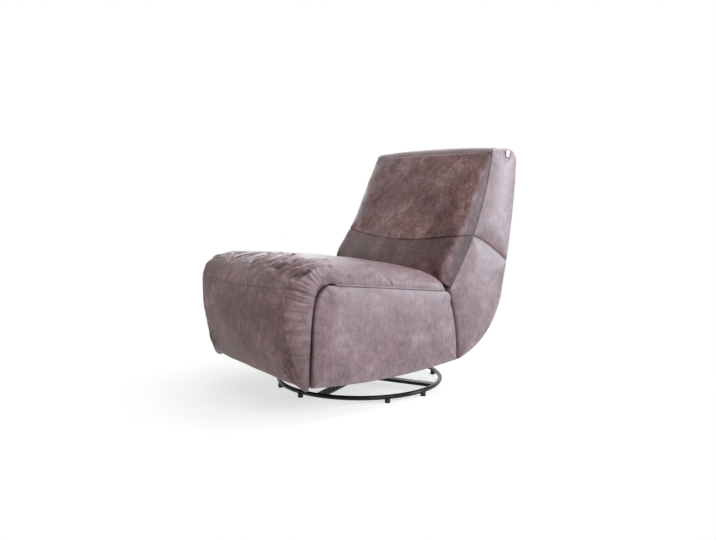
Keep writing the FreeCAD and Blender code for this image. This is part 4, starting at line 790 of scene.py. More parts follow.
HEM_CREASES = (  # width at the hem, width at the upper end, length from the hem
    (0.318, 0.286, 0.090), (0.312, 0.256, 0.070), (0.326, 0.308, 0.110))
TUCK_DEPTH = 0.006
MOUTH_DEPTH = 0.0055  # the cover is drawn in where the side seam ends
steps = np.linalg.norm(np.diff(seat_top, axis=1), axis=-1)
sheet_w = np.concatenate([np.zeros((len(rows_s), 1)), np.cumsum(steps, 1)], 1)
sheet_w -= sheet_w[:, len(columns_u) // 2][:, None]


def to_sheet(x, s):
    """Length across the sheet from its middle, and place along it, of a point given by its width."""
    row = np.searchsorted(rows_s, s)
    return np.interp(x, seat_x[row], sheet_w[row]), s


fold_ridge_rub_and_highlight = np.zeros(sheet_s.shape)
for depth, width, *points in FOLDS:
    for side, share in ((1, 1.0), (-1, RIGHT_FOLD_SHARE)):
        line = [to_sheet(side * x, s) for x, s in points]
        raised, valley, ridge = crease(sheet_w, sheet_s, line, FOLD_DEPTH * share * depth,
                                       FOLD_WIDTH * width)
        lift += raised
        # painted shade in each fold's valley, and its ridges painted paler, partly rubbed leather and
        # partly a painted highlight
        seam_line_and_shade += 1.1 * share * valley ** 1.4
        fold_ridge_rub_and_highlight += 0.9 * share * ridge
for side in (-1, 1):
    for x0, x1, up in HEM_CREASES:
        line = [to_sheet(side * x0, sheet_end - 0.014), to_sheet(side * x1, sheet_end - up)]
        raised, valley, _ = crease(sheet_w, sheet_s, line, 0.0036, 0.0056)
        lift += raised
        # painted shade in the valleys of the hem creases
        seam_line_and_shade += 0.25 * valley ** 2
lift -= TUCK_DEPTH * bell(inset - 0.010, 0.006) * bell(sheet_s - corner_s - 0.012, 0.010)
mouth = bell(inset - 0.012, 0.0045) * bell(sheet_s - corner_s + 0.026, 0.022)
lift -= MOUTH_DEPTH * mouth
# painted shade in the mouth where the side seam ends
seam_line_and_shade += 0.9 * mouth ** 2
sewn_rows = bell(sheet_s - cross_s, SEWN) + 0.8 * bell(sheet_s - seam_s, SEWN)
sewn_rows += bell(inset, SEWN) + (sheet_s < 0.02) + (from_end < 0.010)[:, None]
bend = bell(sheet_s - corner_s - 0.03, 0.065) * np.interp(seat_x, [-0.25, 0.05], [0.35, 1.0])
loose = np.clip(bend + 0.5 * np.exp(-inset / 0.02) * (sheet_s > corner_s) + 0.12, 0, 1)
calm = np.interp(seat_x, [-0.33, -0.12], [0.2, 1.0])  # the cover is smooth on the sitter's right
lift += calm * settle("seat_sheet", seat_top, sewn_rows, loose, slack=0.035)
edge_hold = swell(inset / 0.010) * foot[:, None].clip(0.2, 1)
seat_skin = seat_top + (lift * edge_hold)[..., None] * normals(seat_top)
# a paler worn band along the sides of the flap, and the painted highlight on the fold ridges
wear_and_highlight = np.clip(1.2 * bell(inset - 0.014, 0.022) * (sheet_s > corner_s) + fold_ridge_rub_and_highlight, 0, 1)
print("crease heights", lift.min().round(4), lift.max().round(4))

# %% Seat underside and piece
CORE_DEPTH = 0.051
CORE_INSET = 0.0735  # width of the ledge that lies on the side pad
LEDGE_LIFT = 0.0006
core = np.interp(rows_s, [0, 0.06, corner_s - 0.06, corner_s, flap_s],
                 [0.03, CORE_DEPTH, CORE_DEPTH, 0.012, 0.0])
ledge = np.clip((inset - CORE_INSET) / 0.006, 0, 1)
under_height = LEDGE_LIFT - core[:, None] * ledge
under_out = np.where((rows_s < corner_s)[:, None, None], np.array([0.0, 0.0, 1.0]), seat_out)
seat_under = edge_line[:, None] + under_height[..., None] * under_out
seat_under[..., 0] = seat_x * 0.999
front_start = on_sheet(-0.33, 0.502)
# Painted shade: the front of the roll and the flap, which face away from the key lamp, blend to the darker
# shaded tones, and less so near the sides, where the cover turns to the light.
front_shade_mask = np.clip((sheet_s - front_start) / (flap_s - front_start), 0, 1)
front_shade_mask = front_shade_mask ** 2 * (3 - 2 * front_shade_mask) * (1 - bell(inset, 0.026))
seat_cover = grid_object("seat_cover", seat_skin, seat_under, leather_seat, seam_line_and_shade, wear_and_highlight, flip=True,
                         shade_mask=front_shade_mask)
print("seat cover", len(seat_cover.data.polygons), "faces")

# %% [markdown]
# ### Welt between seat and side
# A thin welt is sewn into the seam between the seat and each side. A round strip is drawn along the seam
# as a tube: a ring of points at each place of its path, turned square to the path.


# %% Welts
def tube_object(name, path, radius, material, sides=10):
    """Round strip along a path of points, with closed ends, as a leather piece."""
    ahead = unit(np.gradient(path, axis=0))
    side = unit(np.cross(ahead, (0.0, 0.0, 1.0)))
    up = np.cross(side, ahead)
    angles = np.linspace(0, 2 * np.pi, sides, endpoint=False)
    share = np.linspace(0, 1, len(path))
    taper = radius * swell(np.minimum(share, 1 - share) / 0.02)
    rings = path[:, None] + taper[:, None, None] * (np.cos(angles)[None, :, None] * side[:, None]
                                                    + np.sin(angles)[None, :, None] * up[:, None])
    index = np.arange(rings.shape[0] * sides).reshape(-1, sides)
    onward = np.roll(index, -1, 1)
    quads = np.stack([index[:-1], index[1:], onward[1:], onward[:-1]], -1).reshape(-1, 4).tolist()
    quads += [index[0].tolist(), index[-1, ::-1].tolist()]
    return leather_object(name, rings.reshape(-1, 3), quads, material, {})


WELT_RADIUS = 0.0034
WELT_HALF = 0.3555
WELT_LIFT = 0.0012
welt_y = np.linspace(-0.345, 0.112, 120)
for side_name, sign in SIDES:
    welt_path = np.stack([np.full(len(welt_y), sign * WELT_HALF), welt_y, seat_seam(welt_y) + WELT_LIFT], 1)
    welt = tube_object("seat_welt_" + side_name, welt_path, WELT_RADIUS, leather_main)
    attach(welt, "chair")
print("welts", WELT_RADIUS, "m in radius")

# %% [markdown]
# ## Padded sides
# Each side is a flat panel of foam under leather. Its edges are rolled and its face swells very little,
# so the height of the face follows the distance to the outline. The right side has a pocket for the
# switch.


# %% Side panels
def rolled(offset, radius):
    """How far a rolled edge of that radius stands back at that distance from the outline."""
    reach = np.clip(offset, 0, radius)
    return radius - np.sqrt(np.maximum(radius ** 2 - (radius - reach) ** 2, 0))


SIDE_ROLL = 0.018
SIDE_FRONT_ROLL = 0.011
SIDE_TOP_ROLL = 0.010
SIDE_SWELL = 0.0045
POCKET_RIM = 0.014
POCKET_DEPTH = 0.0085  # leaves room behind the pressed buttons
CORNER_START = 0.108  # depth at which the top edge starts to round down to the rear edge
CORNER_END_Z = 0.346
SIDE_TOE = (SIDE_FRONT, 0.114)
SIDE_HEEL = (0.181, BACK_FOOT)
side_foot = arc(SIDE_TOE, (-0.1215, 0.102), SIDE_HEEL)
side_rear = arc(SIDE_HEEL, (0.168, 0.270), SEAM_REAR)
side_rear = side_rear[side_rear[:, 1] < CORNER_END_Z]
corner = arc((CORNER_START, seat_seam(CORNER_START)), (0.1375, 0.3705), tuple(side_rear[-1]), 16)
side_head = np.concatenate([[SEAM_FRONT], corner])
NOTCH = (SIDE_TOE, (-0.4240, 0.287), (-0.4185, 0.366), (-0.4120, 0.394), (-0.4030, 0.4120),
         (-0.3800, 0.4345), SEAM_FRONT)
side_front = resample(smooth(resample(NOTCH, 80), 1.0), 60)
side_grid = patch(side_foot, side_head, side_front, side_rear, 76, 112)
to_head = distance(side_grid, side_head)
to_rest = np.minimum(distance(side_grid, side_foot), distance(side_grid, side_rear))
to_front = distance(side_grid, side_front)
to_edge = np.minimum(np.minimum(to_head, to_rest), to_front)
side_drop = np.maximum(rolled(to_rest, SIDE_ROLL), rolled(to_head, SIDE_TOP_ROLL))
side_drop = np.maximum(side_drop, rolled(to_front, SIDE_FRONT_ROLL))
side_face = PAD_OUT - side_drop + SIDE_SWELL * (1 - np.exp(-to_edge / 0.05))


def side_panel(sign, seed):
    """Skin, back and rubbed edge of one side."""
    skin = placed(sign * side_face, side_grid)
    bumps = ripple(skin, size=0.085, height=0.0011, seed=seed) * np.clip(to_edge / 0.02, 0, 1)
    bumps += settle("side_sheet", skin, bell(to_edge, SEWN), loose=0.3, outward=-sign)
    from_front = np.abs(side_grid[..., 0] - SIDE_FRONT)
    bumps += puckers(side_grid[..., 1], from_front, 0.13, 0.37, seed, pitch=0.05, reach=0.02, depth=0.0010)
    skin[..., 0] += sign * bumps
    back = skin.copy()
    back[..., 0] = sign * (BOARD_OUT + BOARD_GAP)
    return skin, back, 0.5 * bell(to_edge - 0.008, 0.010)


for side_name, sign in SIDES:
    skin, back, rubbed = side_panel(sign, 71 + sign)
    if sign < 0:
        low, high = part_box("switch_bezel")
        gap_y = np.maximum(low.y - skin[..., 1], skin[..., 1] - high.y)
        gap_z = np.maximum(low.z - skin[..., 2], skin[..., 2] - high.z)
        near = np.maximum(gap_y, gap_z)
        ring = np.clip(1 - near / POCKET_RIM, 0, 1)
        floor_x = -(PAD_OUT - POCKET_DEPTH)
        drawn_in = skin[..., 0] + (floor_x - skin[..., 0]) * ring ** 2 * 0.5
        skin[..., 0] = np.where(near < 0, floor_x, drawn_in)
    piece = grid_object("side_panel_" + side_name, skin, back, leather_main, None, rubbed, flip=sign < 0)
    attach(piece, "chair")
    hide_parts("side_pad_" + side_name)
print("side panel grid", side_grid.shape)

# %% [markdown]
# ## Sides of the back
# The wings of the back are padded too. A seam crosses each from the lumbar seam to the rear edge, so a
# wing is two patches that share that line. The front edge is tight, because the front pad is sewn to it.

# %% Wings
LUMBAR_Z = 0.571
WING_ROLL = 0.019
FRONT_ROLL = 0.007
WING_SWELL = 0.0050
WING_SEAM_DEPTH = 0.0045
WING_GAP = 0.0004  # the back of a wing lies this far off the panel behind it
ZIP_DIMPLE = 0.0060
BLUNT_START = 0.868  # above this height the blunt corner replaces the seam
WING_SEAM_REAR_Z = 0.464
ZIP_PLACE = (0.424, 0.867)
BACK_TOE = (0.186, BACK_FOOT)  # lowest point of the back
HULL_REAR = (0.416, 0.385)  # the hull under the back turns into its rear here
TOP_REAR = (0.483, 0.840)  # the rear turns into the top here
gap_line = arc(BACK_TOE, (0.173, 0.270), CREASE_POINT)
hull_line = arc(BACK_TOE, (0.334, 0.213), HULL_REAR, 60)
rear_line = arc(HULL_REAR, (0.459, 0.600), TOP_REAR, 60)
TOP_CORNER = (0.3535, 0.8825)  # the top front corner of a wing is blunt
top_line = np.concatenate([[TOP_CORNER, (0.367, BACK_TOP)],
                           arc((0.440, BACK_TOP), (0.468, 0.875), TOP_REAR)])
wing_seam_rear = (np.interp(WING_SEAM_REAR_Z, rear_line[:, 1], rear_line[:, 0]), WING_SEAM_REAR_Z)
wing_seam = np.array([(seam_depth(LUMBAR_Z), LUMBAR_Z), (0.266, 0.568), (0.310, 0.548), (0.363, 0.517),
                      (0.412, 0.484), wing_seam_rear])
wing_seam = resample(smooth(resample(wing_seam, 60), 4.0), 60)
low_front = front_seam[front_seam[:, 1] < LUMBAR_Z]
high_front = front_seam[(front_seam[:, 1] > LUMBAR_Z) & (front_seam[:, 1] < BLUNT_START)]
high_front = np.concatenate([high_front, [TOP_CORNER]])
meet = np.array([wing_seam[0]])
last = np.array([wing_seam[-1]])
low_rear = rear_line[rear_line[:, 1] < wing_seam[-1, 1]]
high_rear = rear_line[rear_line[:, 1] > wing_seam[-1, 1]]
HULL_SPLIT = 26
wing_low = patch(hull_line[:HULL_SPLIT], wing_seam, np.concatenate([gap_line, low_front[1:], meet]),
                 np.concatenate([hull_line[HULL_SPLIT - 1:], low_rear[1:], last]), 96, 44)
wing_high = patch(wing_seam, top_line, np.concatenate([meet, high_front]),
                  np.concatenate([last, high_rear]), 70, 44)
tight = np.concatenate([low_front, meet, high_front])
loose_edges = (gap_line, hull_line, np.concatenate([low_rear, last, high_rear]), top_line)


def wing_skin(grid, sign, seed):
    """Outer face of a wing patch, with its rolled edges, its seam and a little swell."""
    to_tight = distance(grid, tight)
    to_loose = np.min([distance(grid, line) for line in loose_edges], 0)
    to_seam = distance(grid, wing_seam)
    drop = np.maximum(rolled(to_loose, WING_ROLL), rolled(to_tight, FRONT_ROLL))
    near = np.minimum(np.minimum(to_tight, to_loose), to_seam)
    face = back_half(grid[..., 1]) - drop + WING_SWELL * (1 - np.exp(-near / 0.035))
    face -= WING_SEAM_DEPTH * np.exp(-(to_seam / 0.0052) ** 1.5)
    to_zip = np.hypot(grid[..., 0] - ZIP_PLACE[0], grid[..., 1] - ZIP_PLACE[1])
    face -= ZIP_DIMPLE * bell(to_zip, 0.020) * (sign > 0)
    skin = placed(sign * face, grid)
    skin[..., 0] += sign * ripple(skin, size=0.080, height=0.0013, seed=seed) * np.clip(near / 0.02, 0, 1)
    skin[..., 0] += sign * settle("wing_sheet", skin, bell(near, SEWN), loose=0.3, outward=-sign)
    skin[..., 0] += sign * puckers(grid[..., 1], to_tight, 0.42, 0.86, seed,
                                   pitch=0.045, reach=0.020, depth=0.0011)
    dark = 0.7 * bell(to_seam, 0.0028) + 0.8 * bell(to_tight, 0.0028)
    rubbed = 0.55 * bell(np.minimum(to_tight, to_loose) - 0.008, 0.010)
    return skin, dark, rubbed


for side_name, sign in SIDES:
    for level, grid in (("lower", wing_low), ("upper", wing_high)):
        skin, dark, rubbed = wing_skin(grid, sign, 90 + sign)
        back = skin.copy()
        back[..., 0] = sign * (WING_IN + WING_GAP)
        piece = grid_object("back_wing_" + level + "_" + side_name, skin, back, leather_main, dark, rubbed,
                            flip=sign < 0)
        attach(piece, "backrest")
    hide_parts("back_side_" + side_name)
print("wing grids", wing_low.shape, wing_high.shape)

# %% [markdown]
# ## Front of the back
# Two pads make the front, above and below the lumbar seam, which dips in the middle. The foam is boxy:
# its front is flat and turns sharply to its sides, where it meets the wings. It is deep at the foot and
# thin at the top.

# %% Back pads
LUMBAR_DIP = 0.026
TOP_SEAM_Z = 0.869
PAD_SHOULDER = 0.034
PAD_POWER = 3.0
PAD_CROWN = 0.005
PAD_GAP = 0.004  # the sides of a pad lie this far inside the wings
PAD_TUCK = 0.0040  # the back of a pad lies this far behind the front seam
FOOT_Z = 0.395  # the pad slopes below this height, and less and less above it
FOOT_REACH = 0.055
PAD_HEIGHTS = (0.385, 0.450, LUMBAR_Z, 0.682, 0.766, 0.856, 0.870)
PAD_DEPTHS = (0.098, 0.091, 0.068, 0.057, 0.045, 0.018, 0.013)
FOOT_INSETS = (0.0, 0.009, 0.024, 0.074, 0.154)  # near the crease the pad slopes down to its sides
FOOT_SHARES = (0.0, 0.09, 0.40, 0.66, 1.0)
CREASE_SHARES = (0.0, 0.56, 0.68, 0.79, 0.88, 0.935, 0.975, 1.0)
CREASE_HEIGHTS = (0.440, 0.438, 0.434, 0.425, 0.415, 0.406, 0.393, 0.385)
pad_u = across(half=0.35, width=PAD_SHOULDER, depth=0.06, power=PAD_POWER, shoulder_columns=22,
               middle_columns=72)


def lumbar(u):
    """Height of the lumbar seam at a share of the half width."""
    return LUMBAR_Z - LUMBAR_DIP * (1 - u ** 2) ** 1.3


def crease_line(u):
    """Height of the crease between seat and back."""
    return np.interp(np.abs(u), CREASE_SHARES, CREASE_HEIGHTS)


def back_pad(name, low, low_behind, high, seed, rows, low_dip, low_round, high_dip, high_round):
    """One pad between two curved lines, each a height at every share of the half width."""
    share = np.linspace(0, 1, rows)
    share = (0.5 * share + 0.5 * (0.5 - 0.5 * np.cos(np.pi * share)))[:, None]
    z = low(pad_u)[None, :] * (1 - share) + high(pad_u)[None, :] * share
    half = back_half(z) - PAD_GAP
    x = half * pad_u[None, :]
    inset = half - np.abs(x)
    depth = np.interp(z, PAD_HEIGHTS, PAD_DEPTHS)
    near_foot = bell(np.maximum(z - FOOT_Z, 0), FOOT_REACH)
    full = (1 - near_foot) * swell(inset / PAD_SHOULDER, PAD_POWER)
    full = full + near_foot * np.interp(inset, FOOT_INSETS, FOOT_SHARES)
    rise = depth * full + PAD_CROWN * (1 - pad_u[None, :] ** 2)
    up = z - low(pad_u)[None, :]
    down = high(pad_u)[None, :] - z
    held = swell(inset / 0.03)
    rise -= low_dip(pad_u) * (1 - swell(up / low_round, 2.2)) * held
    rise -= high_dip(pad_u) * (1 - swell(down / high_round, 2.2)) * held
    front = np.stack([x, seam_depth(z) - rise - 0.0005, z], -1)
    lift = ripple(front, size=0.11, height=0.0022, seed=seed)
    for side in (-1, 1):
        edge_in = np.where(x * side > 0, inset, 1.0)
        lift += puckers(z, edge_in, z.min() + 0.02, z.max() - 0.02, seed + side,
                        pitch=0.040, reach=0.026, depth=0.0007)
    near = np.minimum(inset, np.minimum(up, down))
    lift += settle("pad_sheet_" + name, front, bell(near, SEWN), loose=0.35, outward=-1)
    front[..., 1] -= lift * np.clip(inset / 0.02, 0, 1) * swell(np.minimum(up, down) / 0.02)
    z_behind = low_behind(pad_u)[None, :] * (1 - share) + high(pad_u)[None, :] * share
    behind = np.stack([x, seam_depth(z_behind) + PAD_TUCK, z_behind], -1)
    return front, behind, inset, up, down


FLAT = np.zeros_like(pad_u)
TOP_ROUND = 0.016  # the top seam drops by this at the two top corners


def top_seam(u):
    """Height of the seam along the top of the back."""
    return TOP_SEAM_Z + 0.002 * (1 - u ** 2) - TOP_ROUND * (1 - swell((1 - np.abs(u)) / 0.09))


def tight_ends(depth):
    """Depth of a seam that is tight at its ends and soft in the middle, as a function of the width."""
    return lambda u: depth * (0.25 + 0.75 * np.abs(u) ** 4)


lower = back_pad("lower", crease_line, lambda u: 0.386 + FLAT, lumbar, 201, 44,
                 lambda u: 0.010 + FLAT, 0.014, tight_ends(0.009), 0.026)
upper = back_pad("upper", lumbar, lumbar, top_seam, 205, 64, tight_ends(0.005), 0.012,
                 lambda u: 0.005 + FLAT, 0.012)
# the lower pad is painted in the darker lumbar tones of shade, the upper pad in the front ones
for name, pad, seam_end, hide in (("lower", lower, 1, shaded_leather_lumbar), ("upper", upper, 0, leather_front)):
    front, behind, inset, *to_ends = pad
    ends = 0.06 + 0.6 * np.abs(pad_u[None, :]) ** 6
    dark = ends * bell(to_ends[seam_end], 0.0030) + 0.8 * bell(inset, 0.0030)
    # Painted shade: the front faces of the pads get the darker shaded tones, and less so where a pad turns
    # to its sides.
    pad_front_shade = 1 - 0.7 * bell(inset, 0.030)
    piece = grid_object("back_pad_front_" + name, front, behind, hide, dark, None, shade_mask=pad_front_shade)
    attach(piece, "backrest")
    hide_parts("back_pad_" + name)
    print("back pad", name, front.shape)

# %% [markdown]
# ## Rear of the back
# One panel runs from the top seam over the top, down the rear and round the hull under the seat. It is
# drawn like the seat: rows along its path, a direction that the padding swells in, and a crown that is
# full in the middle.

# %% Rear panel
HULL_END = 45
REAR_THICKNESS = 0.020
REAR_GAP = 0.0006  # between the rear panel and the wings
LIP_DROP = 0.008  # the edge at the top seam is rounded by this much
rear_path = np.concatenate([[(0.3345, 0.866), (0.3415, 0.879), (0.352, 0.887), (0.366, 0.888)],
                            top_line[1:], rear_line[::-1][1:], hull_line[::-1][1:HULL_END]])
rear_path = resample(smooth(resample(rear_path, 500), 4.0), 200)
along = unit(np.gradient(rear_path, axis=0))
rear_out = np.stack([np.zeros(len(along)), -along[:, 1], along[:, 0]], 1)
rear_s = lengths(rear_path)
rear_crown = np.interp(rear_s, [0, 0.03, 0.11, 0.20, 0.45, rear_s[-1] - 0.05, rear_s[-1]],
                       [0.001, 0.002, 0.003, 0.018, 0.026, 0.022, 0.012])
rear_u = across(half=0.305, width=0.05, depth=0.02, power=2.3, shoulder_columns=12, middle_columns=56)
STRIP_HALF = 0.339
rear_half = np.interp(rear_s, [0, 0.030, 0.042], [STRIP_HALF, STRIP_HALF, WING_IN - REAR_GAP])[:, None]
rear_x = rear_half * rear_u[None, :]
inset = rear_half - np.abs(rear_x)
rear_roll = np.interp(rear_s, [0.05, 0.15], [0.002, 0.006])[:, None]
rise = rear_crown[:, None] * (1 - (rear_x / rear_half) ** 2) - rear_roll * (1 - swell(inset / 0.014))
rise -= LIP_DROP * (1 - swell(rear_s / 0.010))[:, None]
rear_skin = placed(rear_x, np.repeat(rear_path[:, None], len(rear_u), 1))
rear_back = rear_skin - REAR_THICKNESS * rear_out[:, None]
rear_skin = rear_skin + rise[..., None] * rear_out[:, None]
rear_lift = ripple(rear_skin, size=0.12, height=0.0022, seed=301) * swell(inset / 0.03)
rear_lift *= swell((rear_s - 0.12) / 0.1)[:, None]
rear_along = np.repeat(rear_s[:, None], len(rear_u), 1)
for side in (-1, 1):
    edge_in = np.where(rear_x * side > 0, inset, 1.0)
    rear_lift += puckers(rear_along, edge_in, 0.12, rear_s[-1] - 0.04, 310 + side,
                         pitch=0.050, reach=0.030, depth=0.0016)
near = np.minimum(inset, np.minimum(rear_s, rear_s[-1] - rear_s)[:, None])
rear_lift += settle("rear_sheet", rear_skin, bell(near, SEWN), loose=0.3, outward=-1) * swell(inset / 0.02)
rear_skin += rear_lift[..., None] * rear_out[:, None]
rear_dark = 0.6 * bell(inset, 0.0030) + 0.6 * bell(rear_s[:, None], 0.003)
rear_panel = grid_object("back_rear_cover", rear_skin, rear_back, leather_main, rear_dark,
                         0.4 * bell(inset - 0.012, 0.012))
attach(rear_panel, "backrest")
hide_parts("back_rear_panel")
print("rear panel", rear_skin.shape)

# %% [markdown]
# ## Tail of the seat and gussets
# When the back reclines, the joint behind the seat opens. What closes it on the real chair doesn't show, so
# this is a guess: a padded tail, and leather gussets on the plywood sides. Both follow circles about the
# recline pins, so the back clears them in every pose.


# %% Tail and gussets
def about_pivot(radius, degrees):
    """Depth and height at a radius from the recline pivot, in degrees back from straight up."""
    angle = np.radians(degrees)
    return np.stack([PIVOT[0] + radius * np.sin(angle), PIVOT[1] + radius * np.cos(angle)], -1)


SWEEP_RADIUS = 0.2426
SWEEP_GAP = 0.0006  # the tail stays this far inside the sweep of the back
TAIL_THICKNESS = 0.030
TAIL_HALF = 0.250
TAIL_ROLL = 0.010
TAIL_SPAN = (-15.4, 29.4)  # degrees back from straight up
tail_turn = np.linspace(*TAIL_SPAN, 60)[:, None]
tail_u = across(half=TAIL_HALF, width=0.02, depth=0.02, power=2.3, shoulder_columns=10, middle_columns=40)
tail_in = TAIL_HALF * (1 - np.abs(tail_u))
tail_end = SWEEP_RADIUS * np.radians(np.minimum(tail_turn - TAIL_SPAN[0], TAIL_SPAN[1] - tail_turn))
tail_drop = rolled(np.minimum(tail_in[None, :], tail_end), TAIL_ROLL)
tail_outer = about_pivot(SWEEP_RADIUS - SWEEP_GAP - tail_drop, tail_turn)
tail_inner = about_pivot(np.full_like(tail_drop, SWEEP_RADIUS - TAIL_THICKNESS), tail_turn)
tail_x = np.repeat(TAIL_HALF * tail_u[None, :], len(tail_turn), 0)
tail = grid_object("seat_tail_cover", placed(tail_x, tail_outer), placed(tail_x, tail_inner), leather_main,
                   flip=True)
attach(tail, "chair")
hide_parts("seat_tail")

SECTOR_SPAN = (-15.2, 13.8)  # degrees that the plywood sector covers
FREE_SPAN = (14.0, 24.0)  # degrees over which the gusset hangs free behind it
FREE_GAP = 0.001
HIDE = 0.0008  # the gusset stands this far past the sector and hides it
GUSSET_OUT = 0.3044
GUSSET_START = 0.03
gusset_turn = np.concatenate([np.linspace(*SECTOR_SPAN, 24), np.linspace(*FREE_SPAN, 9)])[None, :]
on_board = gusset_turn <= SECTOR_SPAN[1]
gusset_reach = np.where(on_board, SWEEP_RADIUS + HIDE, SWEEP_RADIUS - FREE_GAP)
gusset_radius = GUSSET_START + np.linspace(0.0, 1.0, 40)[:, None] * (gusset_reach - GUSSET_START)
gusset_yz = about_pivot(gusset_radius, gusset_turn)
gusset_inner = np.repeat(np.where(on_board, BOARD_IN - HIDE, BOARD_OUT + BOARD_GAP), len(gusset_radius), 0)
for side_name, sign in SIDES:
    outer = placed(np.full(gusset_yz.shape[:2], sign * GUSSET_OUT), gusset_yz)
    inner = placed(sign * gusset_inner, gusset_yz)
    gusset = grid_object("gusset_" + side_name, outer, inner, leather_main, flip=sign < 0)
    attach(gusset, "chair")
print("tail", tail_outer.shape, "gussets", gusset_yz.shape)

# %% [markdown]
# ## Finishes of the hard parts
# Ring, frame, motors, boards and buttons keep their CAD shapes. Three shared effects cover most of
# them: a coated or moulded surface with fine texture and uneven gloss, plated metal with drawn lines, and
# wood with grain and plies. Each material sets its own colours. The woven elastic is a material by itself.

# %% Coated and moulded surfaces
SURFACE = ("Colour", "Roughness", "Height")  # what each of the three groups puts out
coat, given, give = new_group("coated_surface", ("Colour", "Worn"), ("Gloss", "Texture"), SURFACE)
patches = noise(coat, given["Place"], 14.0, 4.0, 0.6)
dust = noise(coat, given["Place"], 160.0, 3.0, 0.6)
peel = noise(coat, given["Place"], given["Texture"], 2.0, 0.5)
mixed = mixture(coat, (patches, 0.6), (dust, 0.4))
worn_share = stretch(coat, mixed, 0.42, 0.68)
uneven = stretch(coat, mixed, 0.35, 0.65, -0.06, 0.08)
plug(coat, give, {"Colour": blend_colour(coat, worn_share, given["Colour"], given["Worn"]),
                  "Roughness": calc(coat, "ADD", given["Gloss"], uneven), "Height": peel})


def finished(name, group, values, bump, distance, shader_values):
    """A material whose colour, roughness and relief come from a group."""
    material, tree, shader = new_material(name)
    place = put(tree, "ShaderNodeTexCoord").outputs["Object"]
    effect = put(tree, "ShaderNodeGroup", {"Place": place} | values, node_tree=group).outputs
    plug(tree, shader, {"Base Color": effect["Colour"], "Roughness": effect["Roughness"],
                        "Normal": bumped(tree, effect["Height"], bump, distance)} | shader_values)
    return material


def coated(name, colour, worn, gloss, texture, bump=0.12, shine=0.5):
    """Painted, moulded or rubber surface."""
    values = {"Colour": screen(*colour), "Worn": screen(*worn), "Gloss": gloss, "Texture": texture}
    return finished(name, coat, values, bump, 0.0006, {"Specular IOR Level": shine})


finish = {
    "black_steel": coated("black_enamel", (9, 10, 14), (18, 19, 25), 0.28, 520.0, 0.08, 0.25),
    "grey_steel": coated("grey_enamel", (104, 107, 111), (128, 131, 134), 0.42, 420.0, 0.10),
    "nylon": coated("natural_nylon", (222, 220, 210), (206, 202, 190), 0.48, 600.0),
    "black_plastic": coated("moulded_black", (36, 36, 39), (52, 52, 55), 0.46, 1100.0, 0.30),
    "rubber": coated("foot_rubber", (30, 30, 31), (58, 57, 56), 0.74, 800.0, 0.25),
    "cap_plastic": coated("button_caps", (66, 67, 70), (84, 85, 88), 0.30, 900.0, 0.06),
}
print("coated finishes", sorted(finish))

# %% Plated metal
plate, given, give = new_group("plated_metal", ("Bright", "Dull"), ("Gloss",), SURFACE)
drawn = noise(plate, scaled(plate, given["Place"], 60.0, 4.0, 60.0), 14.0, 4.0, 0.6)
bloom = noise(plate, given["Place"], 45.0, 5.0, 0.65, 0.6)
dull_share = stretch(plate, bloom, 0.40, 0.66)
uneven = stretch(plate, bloom, 0.35, 0.65, -0.07, 0.12)
plug(plate, give, {"Colour": blend_colour(plate, dull_share, given["Bright"], given["Dull"]),
                   "Roughness": calc(plate, "ADD", given["Gloss"], uneven), "Height": drawn})


def plated(name, bright, dull, gloss):
    """Bare or plated metal."""
    values = {"Bright": screen(*bright), "Dull": screen(*dull), "Gloss": gloss}
    return finished(name, plate, values, 0.1, 0.0004, {"Metallic": 1.0})


finish["bright_steel"] = plated("zinc_plate", (205, 206, 208), (168, 170, 172), 0.30)
finish["spring_steel"] = plated("spring_wire", (128, 127, 126), (88, 86, 84), 0.38)
finish["zip_metal"] = plated("zip_nickel", (214, 210, 202), (160, 154, 146), 0.24)
print("with plated finishes", sorted(finish))

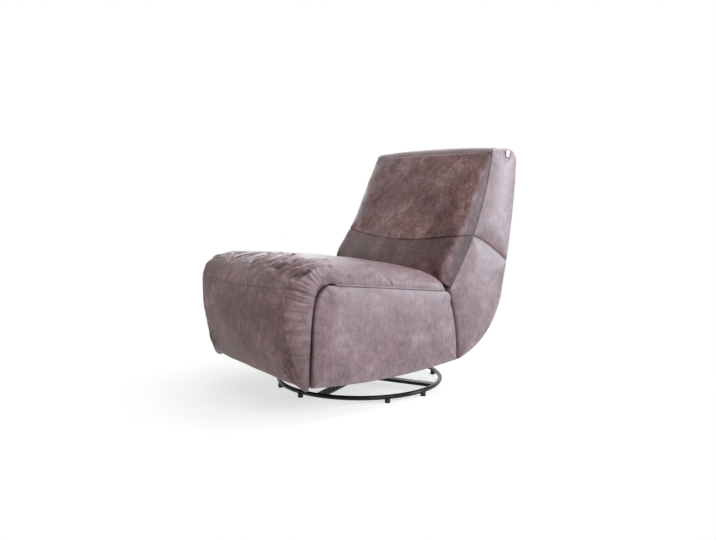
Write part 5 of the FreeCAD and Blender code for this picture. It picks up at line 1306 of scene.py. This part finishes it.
# %% Wood and webbing
PLY = 0.0052  # thickness of two plies
wood, given, give = new_group("sawn_wood", ("Light", "Dark"), ("Plies",), SURFACE)
fibre = noise(wood, scaled(wood, given["Place"], 90.0, 6.0, 90.0), 2.2, 6.0, 0.62, 0.5)
figure = noise(wood, scaled(wood, given["Place"], 12.0, 2.0, 12.0), 2.0, 3.0, 0.5, 1.2)
split = put(wood, "ShaderNodeSeparateXYZ", {0: given["Place"]}).outputs
plies = calc(wood, "SINE", calc(wood, "MULTIPLY", split["X"], 2 * math.pi / PLY))
plies = calc(wood, "MULTIPLY", stretch(wood, plies, -0.2, 0.2), given["Plies"])
shade = stretch(wood, mixture(wood, (fibre, 0.6), (figure, 0.4)), 0.40, 0.64)
shade = calc(wood, "ADD", shade, calc(wood, "MULTIPLY", plies, 0.35))
plug(wood, give, {"Colour": blend_colour(wood, shade, given["Light"], given["Dark"]),
                  "Roughness": stretch(wood, fibre, 0.3, 0.7, 0.55, 0.72), "Height": fibre})


def sawn(name, light, dark, plies):
    """Raw wood; plies is 1 where its edges show plies."""
    values = {"Light": screen(*light), "Dark": screen(*dark), "Plies": plies}
    return finished(name, wood, values, 0.2, 0.0006, {})


finish["plywood"] = sawn("raw_plywood", (212, 184, 140), (170, 134, 90), 1.0)
finish["timber"] = sawn("raw_beech", (214, 186, 146), (184, 148, 106), 0.0)

WARP = 0.004
WEFT = 0.003
material, tree, shader = new_material("elastic_webbing")
place = put(tree, "ShaderNodeTexCoord").outputs["Object"]
axes = put(tree, "ShaderNodeSeparateXYZ", {0: place}).outputs
warp = calc(tree, "SINE", calc(tree, "MULTIPLY", axes["X"], 2 * math.pi / WARP))
weft = calc(tree, "SINE", calc(tree, "MULTIPLY", axes["Z"], 2 * math.pi / WEFT))
weave = calc(tree, "MULTIPLY", warp, weft)
lighter = stretch(tree, weave, -1.0, 1.0)
plug(tree, shader, {"Base Color": blend_colour(tree, lighter, screen(48, 47, 47), screen(92, 90, 88)),
                    "Roughness": stretch(tree, weave, -1.0, 1.0, 0.70, 0.86),
                    "Normal": bumped(tree, weave, 0.4, 0.0008)})
finish["webbing"] = material
print("finishes", len(finish))

# %% Dress the CAD nodes
dressed = 0
for part in frame["record"]["subparts"]:
    hard_finish = finish.get(part["material_slot"])
    if hard_finish:
        mesh = nodes[part["node"]].data
        mesh.materials.clear()
        mesh.materials.append(hard_finish)
        dressed += 1
print("CAD nodes dressed", dressed)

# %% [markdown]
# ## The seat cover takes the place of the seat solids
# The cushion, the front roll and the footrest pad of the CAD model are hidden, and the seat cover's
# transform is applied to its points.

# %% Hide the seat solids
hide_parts("seat_cushion", "front_roll", "footrest_pad")
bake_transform(seat_cover)
